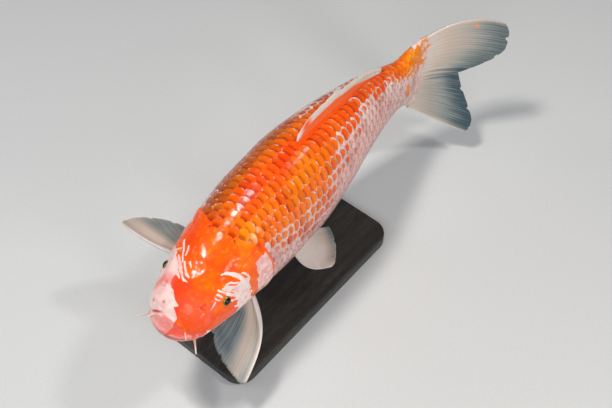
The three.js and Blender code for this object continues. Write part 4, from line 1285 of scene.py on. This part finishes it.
def floor_finish():
    """Matt painted studio floor, pale grey, with a faint roller texture."""
    material, add, place = new_finish("matt pale grey floor paint")
    roller = add("TexNoise", {"Vector": place, "Scale": 1 / (4 * MM), "Detail": 3.0})
    colour = add("Mix", {FACTOR: roller, FIRST: "#d2d4d6", SECOND: "#dadcdd"}, data_type="RGBA")
    bump = add("Bump", {"Strength": 0.1, "Distance": 0.3 * MM, "Height": roller})
    return complete(material, {"Base Color": colour, "Roughness": 0.8, "Normal": bump})


# ---- studio ----
FLOOR_HALF = 6.0
LAMPS = (  # name, place and size in metres, power in watts, colour
    ("key_softbox", (-0.42, 0.22, 1.85), (0.24, 0.24), 17, "#fffaf2"),
    ("back_softbox", (0.6, -0.75, 1.75), (0.2, 0.2), 7, "#fffdf8"),
    ("left_softbox", (-0.25, -1.6, 0.7), (0.36, 0.3), 8.5, "#fffaf4"),
    ("front_softbox", (-1.2, -0.9, 1.3), (0.7, 0.7), 6, "#f8faff"),
    ("right_softbox", (-0.9, 1.3, 0.9), (0.6, 0.6), 4.5, "#f6f8ff"),
)
AIM = Vector(bend(np.array([250.0, 0, 0])))  # the middle of the fish, which lamps and camera face
BEARING, STEEPNESS = math.radians(50), math.radians(51)  # of the camera: from +Y towards +X, and downwards
CAMERA_DISTANCE = 1.2433
LENS, SENSOR, SHIFT = 61.5, 36, (0.019, -0.0366)  # millimetres, and shares of the picture


def place_object(name, data, place, target):
    """Puts a lamp or a camera at its place, turned towards the target."""
    holder = bpy.data.objects.new(name, data)
    holder.location = place
    holder.rotation_euler = (Vector(target) - Vector(place)).to_track_quat("-Z", "Y").to_euler()
    bpy.context.collection.objects.link(holder)
    return holder


def make_floor():
    corners = [(FLOOR_HALF * a, FLOOR_HALF * b, 0) for a, b in ((-1, -1), (1, -1), (1, 1), (-1, 1))]
    mesh = bpy.data.meshes.new("studio_floor")
    mesh.from_pydata(corners, [], [(0, 1, 2, 3)])
    mesh.materials.append(floor_finish())
    floor = bpy.data.objects.new("studio_floor", mesh)
    bpy.context.collection.objects.link(floor)


def make_light():
    """Soft lamps all round in a pale room."""
    for name, place, size, watts, tint in LAMPS:
        lamp = bpy.data.lights.new(name, "AREA")
        lamp.shape = "RECTANGLE"
        lamp.size, lamp.size_y = size
        lamp.energy = watts
        lamp.color = linear(tint)[:3]
        place_object(name, lamp, place, AIM)
    world = bpy.data.worlds.new("pale studio")
    world.use_nodes = True
    sky = world.node_tree.nodes["Background"]
    sky.inputs["Color"].default_value = linear("#e9edf2")
    sky.inputs["Strength"].default_value = 0.19
    bpy.context.scene.world = world
    bpy.context.scene.view_settings.view_transform = "Standard"


def make_camera():
    """Looks steeply down on the fish from its left front."""
    level = math.cos(STEEPNESS)
    look = Vector((level * math.sin(BEARING), level * math.cos(BEARING), -math.sin(STEEPNESS)))
    lens = bpy.data.cameras.new("camera")
    lens.lens, lens.sensor_width = LENS, SENSOR
    lens.shift_x, lens.shift_y = SHIFT
    bpy.context.scene.camera = place_object("camera", lens, AIM - look * CAMERA_DISTANCE, AIM)


pigments = pigment_group()
fins = fin_finish()
make_skin(skin_finish(pigments))
make_scales(scale_finish(pigments))
make_fins(fins)
make_eyes(eye_finish())
make_barbels(barbel_finish())
make_stand(wood_finish(), steel_finish())
make_floor()
make_light()
make_camera()
